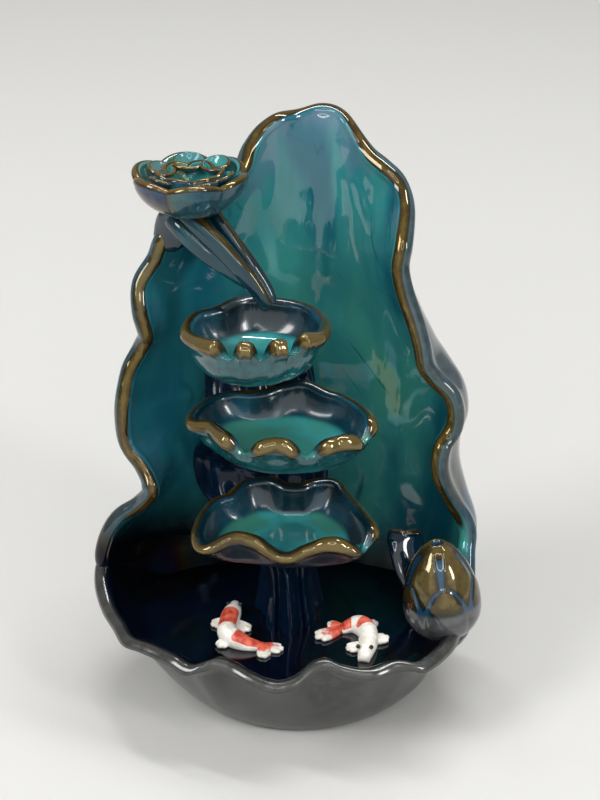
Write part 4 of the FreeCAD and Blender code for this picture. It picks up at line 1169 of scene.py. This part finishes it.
def row_cover(angle, share, first, top, half_width, fullness):
    """How far the petals of one row stand out at an angle and a share of the height."""
    step = 360 // BUD_PETALS
    return max(petal_cover(angle, share, step * k + first, top, half_width, fullness)
               for k in range(BUD_PETALS))


def make_bud():
    """The bud with its petals in low relief and the bore for the stick."""
    side = Vector((0, 1, 0)).cross(BUD_AXIS).normalized()
    front = BUD_AXIS.cross(side)
    profile = smooth_line([Vector((share, width, 0)) for share, width in BUD_PROFILE], BUD_RINGS)
    rings = []
    rims = []
    backs = []
    for point in profile:
        middle = BUD_FOOT + BUD_AXIS * (point.x * BUD_HEIGHT)
        ring = []
        row = []
        for angle in turn(AROUND_BUD):
            lower = row_cover(angle, point.x, *LOWER_PETALS)
            upper = row_cover(angle, point.x, *UPPER_PETALS)
            rise = max(lower, UPPER_RISE * upper)
            reach = point.y * BUD_RADIUS + BUD_PETAL_RISE * rise * min(1, 4 * point.x)
            ring.append(middle + side * (reach * math.cos(angle)) + front * (reach * math.sin(angle)))
            seam = max(1 - abs(2 * lower - 1), (1 - upper) * (1 - lower))
            row.append(PETAL_BARE - SEAM_COVER * seam * (1 - soft_step(point.x, *SEAM_FADE)))
        rings.append(ring)
        rims.append(row)
        # The foot's mark gives it the pale grey outside colour, partly painted reflection of the table.
        backs.append([1 - soft_step(point.x, *FOOT_FADE)] * AROUND_BUD)
    for depth, radius in BORE:
        middle = BUD_FOOT + BUD_AXIS * (BUD_HEIGHT - depth)
        rings.append([middle + side * (radius * math.cos(angle)) + front * (radius * math.sin(angle))
                      for angle in turn(AROUND_BUD)])
        rims.append([1.0 if depth < 0 else 0.0] * AROUND_BUD)
        backs.append([0.0] * AROUND_BUD)
    rims = [[value * (1 - back) for value, back in zip(*rows)] for rows in zip(rims, backs)]
    shell = bmesh.new()
    add_skin(shell, *closed(rings, {"rim": rims, "back": backs}))
    return piece("bud", shell, bud_glaze, "ceramic_burner")


make_bud()
make_bar("bud_seat", [(46, -20, 25), (47, -20.3, 27.4), (48.3, -20.6, 30.2), (49.5, -21, 33)],
         [(4, 4), (6, 6), (8, 8), (8, 8)], basin_glaze, count=20)
make_bar("curled_leaf",
         [(44, -4, 28), (42, -3, 35), (39.5, -1, 42), (37.5, 2, 48), (36.5, 4, 52), (36.5, 5, 54.5)],
         [(7, 4), (7.5, 3.6), (7.5, 3.0), (7.0, 2.6), (6.5, 2.2), (5.0, 1.4)],
         curl_glaze, count=40, tip=0.12)

# Koi: two small castings glued flat on the basin floor


def painted():
    """White paint with red where the mark red is high."""
    material, tree, shader, place = finish_shader("koi_paint")
    specks = noise(tree, place, 380, detail=4)
    white = ramp(tree, specks, [(0.35, (0.66, 0.62, 0.54)), (0.6, (0.86, 0.84, 0.78))])
    red = ramp(tree, specks, [(0.3, (0.42, 0.03, 0.015)), (0.65, (0.80, 0.16, 0.10))])
    spots = masked(tree, maths(tree, "ADD", mark(tree, "red"), off_middle(tree, specks, 0.9)), 0.42, 0.58)
    tree.links.new(mixed(tree, spots, white, red), shader.inputs["Base Color"])
    shader.inputs["Roughness"].default_value = 0.42
    return material


def eye_black():
    """The glossy black of the koi's eyes."""
    material, tree, shader, place = finish_shader("koi_eye")
    black = ramp(tree, noise(tree, place, 900), [(0.4, (0.004, 0.004, 0.005)), (0.7, (0.02, 0.02, 0.02))])
    tree.links.new(black, shader.inputs["Base Color"])
    shader.inputs["Roughness"].default_value = 0.15
    return material


koi_paint = painted()
koi_black = eye_black()

AROUND_KOI = 40
KOI_THICK = 6.0
KOI_RINGS = 60
EYE_RADIUS = 0.75
# Height of the body as a share of its width's scale, and how high its spine and its fins lie
BODY_FLATNESS = 0.64
BODY_LIFT = 0.36
FIN_HEIGHT = 0.14
# How soft the ends of a red band are along the body, and where on its back the red starts and is full
BAND_EDGE = 0.05
RED_HEIGHTS = (0.1, 0.75)
# Half width and height of the body along it, from the tail's root to the nose
BODY = [(0.34, 0.34), (0.44, 0.62), (0.54, 0.92), (0.58, 1.0), (0.56, 0.96), (0.54, 0.86), (0.34, 0.52)]
AROUND_FIN = 20
FIN_RINGS = 20
# Half width and height of a fin along it, and its rays: how far each turns, its length and its width
FIN_SECTIONS = ((0.8, 0.24), (1.0, 0.24), (1.15, 0.2), (1.0, 0.15), (0.6, 0.1))
FIN_RAYS = ((-13, 0.92, 0.72), (0, 1.0, 0.72), (13, 0.90, 0.72))


def in_bands(share, bands):
    """How far a share of the body's length lies in one of its red bands."""
    return max(soft_step(share, first - BAND_EDGE, first + BAND_EDGE)
               * (1 - soft_step(share, last - BAND_EDGE, last + BAND_EDGE)) for first, last in bands)


def add_body(shell, middle, spine, bands):
    """Adds a koi's body along its spine, from tail root to nose, with its bands in the mark red."""
    line = smooth_line([middle + Vector((x, y, 0)) for x, y in spine], KOI_RINGS)
    halves = spaced([(KOI_THICK * width, BODY_FLATNESS * KOI_THICK * height) for width, height in BODY],
                    KOI_RINGS)
    heights = smooth_line([Vector((height, 0, 0)) for width, height in BODY], KOI_RINGS)
    line = [point + UP * (BODY_LIFT * KOI_THICK * height.x) for point, height in zip(line, heights)]
    rings, marks = tube(line, halves, around=AROUND_KOI)
    shares = [0.0] + [k / (KOI_RINGS - 1) for k in range(KOI_RINGS)] + [1.0]
    tops = [soft_step(math.sin(angle), *RED_HEIGHTS) for angle in turn(AROUND_KOI)]
    marks["red"] = [[in_bands(share, bands) * top for top in tops] for share in shares]
    add_skin(shell, rings, marks)


def add_fin(shell, root, tip, width, red):
    """Adds a fin of three rays from its root to its tip, red at its root if red is one."""
    for turned, length, share_wide in FIN_RAYS:
        ray = Matrix.Rotation(math.radians(turned), 3, "Z") @ (tip - root) * length
        blade = smooth_line([root + ray * share for share in (0.0, 0.3, 0.6, 0.85, 1.0)], FIN_RINGS)
        halves = spaced([(width * share_wide * out, lift * KOI_THICK) for out, lift in FIN_SECTIONS],
                        FIN_RINGS)
        rings, marks = tube(blade, halves, around=AROUND_FIN)
        marks["red"] = [[red * (0.9 - 0.75 * k / len(rings))] * AROUND_FIN for k in range(len(rings))]
        add_skin(shell, rings, marks)


def make_koi(name, middle, spine, fins, bands, eyes):
    """One koi, cut flat where it is glued to the floor. bands are (from, to) shares of the body's length
    that are painted red, and each fin is its root and tip, its width, and one if it is red."""
    middle = Vector((*middle, FLOOR_HEIGHT))
    shell = bmesh.new()
    add_body(shell, middle, spine, bands)
    for x, y, tip_x, tip_y, width, red in fins:
        root = middle + Vector((x, y, FIN_HEIGHT * KOI_THICK))
        tip = middle + Vector((tip_x, tip_y, FIN_HEIGHT * KOI_THICK))
        add_fin(shell, root, tip, width, red)
    everything = shell.verts[:] + shell.edges[:] + shell.faces[:]
    cut = bmesh.ops.bisect_plane(shell, geom=everything, dist=MERGE_DISTANCE, plane_co=(0, 0, FLOOR_HEIGHT),
                                 plane_no=(0, 0, 1), clear_inner=True)
    rim = [item for item in cut["geom_cut"] if isinstance(item, bmesh.types.BMEdge)]
    bmesh.ops.holes_fill(shell, edges=rim, sides=0)
    piece(name + "_body", shell, koi_paint, name)
    pupils = bmesh.new()
    for eye_place in eyes:
        made = bmesh.ops.create_icosphere(pupils, subdivisions=3, radius=EYE_RADIUS)["verts"]
        bmesh.ops.translate(pupils, vec=middle + Vector(eye_place), verts=made)
    piece(name + "_eyes", pupils, koi_black, name)


make_koi("koi_left", (-22, -19), [(9.5, -10), (2.5, -8.6), (-2.5, -4), (-2.2, 5), (-0.5, 15)],
         [(9, -10, 10.4, -16, 1.9, 1), (8.5, -10, 16.4, -11.2, 1.8, 1), (-2, 6, -8.5, 3.2, 2.0, 0),
          (-1, 5, 4.8, 0, 1.8, 0), (-2, -5, -5.4, -10, 1.8, 0)],
         [(0.0, 0.35), (0.55, 0.82)], [(-2.9, 11.5, 4.2), (1.4, 11.2, 4.2)])
make_koi("koi_right", (20, -24), [(-6, 5.4), (-1.8, 6.6), (2, 4.4), (3.2, -2), (1.2, -13)],
         [(-5.5, 6.4, -10.4, 9.2, 1.7, 1), (-5, 6, -14.6, 0.4, 1.9, 1), (3, -2, 10, 1, 2.0, 0),
          (2, -4, -4.4, -6.2, 2.0, 0), (3.6, 5, 5.4, 10.8, 1.6, 0)],
         [(0.0, 0.25), (0.42, 0.6)], [(-0.6, -9.4, 4.0), (3.8, -9.8, 4.0)])

# Table, light and camera

TABLE_RADIUS = 1.7
# The table's near and far colours are painted light, not a real change in the table.
TABLE_NEAR = (0.515, 0.512, 0.497)
TABLE_FAR = (0.785, 0.78, 0.76)
# From where to where, in metres from the middle, the table's colour changes from near to far: painted light,
# darker near the middle and paler far out, to even out the lamps
TABLE_LIGHT_FADE = (0.1, 1.2)
ROOM_COLOUR = (0.80, 0.795, 0.775, 1)
# Strength of the room's light, and of the backdrop where the camera sees it
ROOM_LIGHT = 0.46
BACKDROP_LIGHT = 0.84


def scenery(name, shell, finish):
    """The object for a bmesh in metres that is only there for the picture."""
    mesh = bpy.data.meshes.new(name)
    shell.to_mesh(mesh)
    shell.free()
    mesh.materials.append(finish)
    result = bpy.data.objects.new(name, mesh)
    bpy.context.collection.objects.link(result)
    return result


def make_table():
    """The pale table top, painted paler away from the middle as painted light that evens out the lamps."""
    material, tree, shader, place = finish_shader("table_top")
    far = add_node(tree, "ShaderNodeVectorMath", operation="LENGTH")
    tree.links.new(place, far.inputs[0])
    share = ranged(tree, far.outputs["Value"], *TABLE_LIGHT_FADE, steps="LINEAR")
    tree.links.new(mixed(tree, share, TABLE_NEAR, TABLE_FAR), shader.inputs["Base Color"])
    shader.inputs["Roughness"].default_value = 0.6
    table = bmesh.new()
    bmesh.ops.create_circle(table, cap_ends=True, segments=96, radius=TABLE_RADIUS)
    scenery("table_top", table, material)


def make_room():
    """The room's soft light, with a brighter backdrop for the camera alone."""
    world = bpy.data.worlds.new("room")
    bpy.context.scene.world = world
    world.use_nodes = True
    tree = world.node_tree
    backdrop = tree.nodes["Background"]
    backdrop.inputs[0].default_value = ROOM_COLOUR
    path = add_node(tree, "ShaderNodeLightPath")
    seen = ranged(tree, path.outputs["Is Camera Ray"], 0.0, 1.0, ROOM_LIGHT, BACKDROP_LIGHT, "LINEAR")
    tree.links.new(seen, backdrop.inputs[1])


make_table()
make_room()


def soft_light(name, place, aim, width, height, power):
    """A large soft lamp at a place, turned to the point that it lights."""
    lamp = bpy.data.lights.new(name, "AREA")
    lamp.shape = "RECTANGLE"
    lamp.size = width
    lamp.size_y = height
    lamp.energy = power
    result = bpy.data.objects.new(name, lamp)
    result.location = place
    result.rotation_mode = "QUATERNION"
    result.rotation_quaternion = (Vector(aim) - Vector(place)).to_track_quat("-Z", "Y")
    bpy.context.collection.objects.link(result)


soft_light("window_left", (-0.95, -0.55, 1.0), (0, 0, 0.08), 0.45, 0.75, 13)
soft_light("window_right", (0.85, -0.75, 0.8), (0, 0, 0.1), 0.18, 0.5, 6)
soft_light("front", (0.1, -1.35, 0.60), (0, 0, 0.08), 2.8, 1.7, 10)
soft_light("ceiling", (0.15, 0.25, 1.4), (0, 0, 0), 1.1, 0.10, 13)

RING_RADIUS = 0.13
RING_THICKNESS = 0.014
RING_GLOW = 9.0


def make_ring_lamp():
    """A round lamp over the burner, whose small rings show in the wet-looking glaze."""
    glow = bpy.data.materials.new("lamp_glow")
    glow.use_nodes = True
    shader = glow.node_tree.nodes["Principled BSDF"]
    shader.inputs["Base Color"].default_value = (0, 0, 0, 1)
    shader.inputs["Emission Color"].default_value = (1, 0.98, 0.95, 1)
    shader.inputs["Emission Strength"].default_value = RING_GLOW
    ring = bmesh.new()
    section = bmesh.ops.create_circle(ring, segments=12, radius=RING_THICKNESS)["verts"]
    bmesh.ops.rotate(ring, verts=section, cent=(0, 0, 0), matrix=Matrix.Rotation(math.pi / 2, 3, "X"))
    bmesh.ops.translate(ring, verts=section, vec=(RING_RADIUS, 0, 0))
    bmesh.ops.spin(ring, geom=ring.verts[:] + ring.edges[:], cent=(0, 0, 0), axis=(0, 0, 1),
                   angle=2 * math.pi, steps=64, use_merge=True)
    bmesh.ops.recalc_face_normals(ring, faces=ring.faces)
    lamp = scenery("ring_lamp", ring, glow)
    lamp.location = (-0.02, -0.42, 0.56)
    lamp.rotation_euler = (math.radians(45), 0, 0)
    lamp.visible_camera = False


make_ring_lamp()

# Camera: a long lens in front and above, tilted down to the burner
CAMERA_TILT = 25.9
camera = bpy.data.cameras.new("camera")
camera.lens = 75.3
camera.sensor_width = 36
camera.sensor_fit = "AUTO"
camera_object = bpy.data.objects.new("camera", camera)
camera_object.location = (0, -0.5, 0.35)
camera_object.rotation_euler = (math.radians(90 - CAMERA_TILT), 0, 0)
bpy.context.collection.objects.link(camera_object)
bpy.context.scene.camera = camera_object
bpy.context.scene.view_settings.view_transform = "Standard"
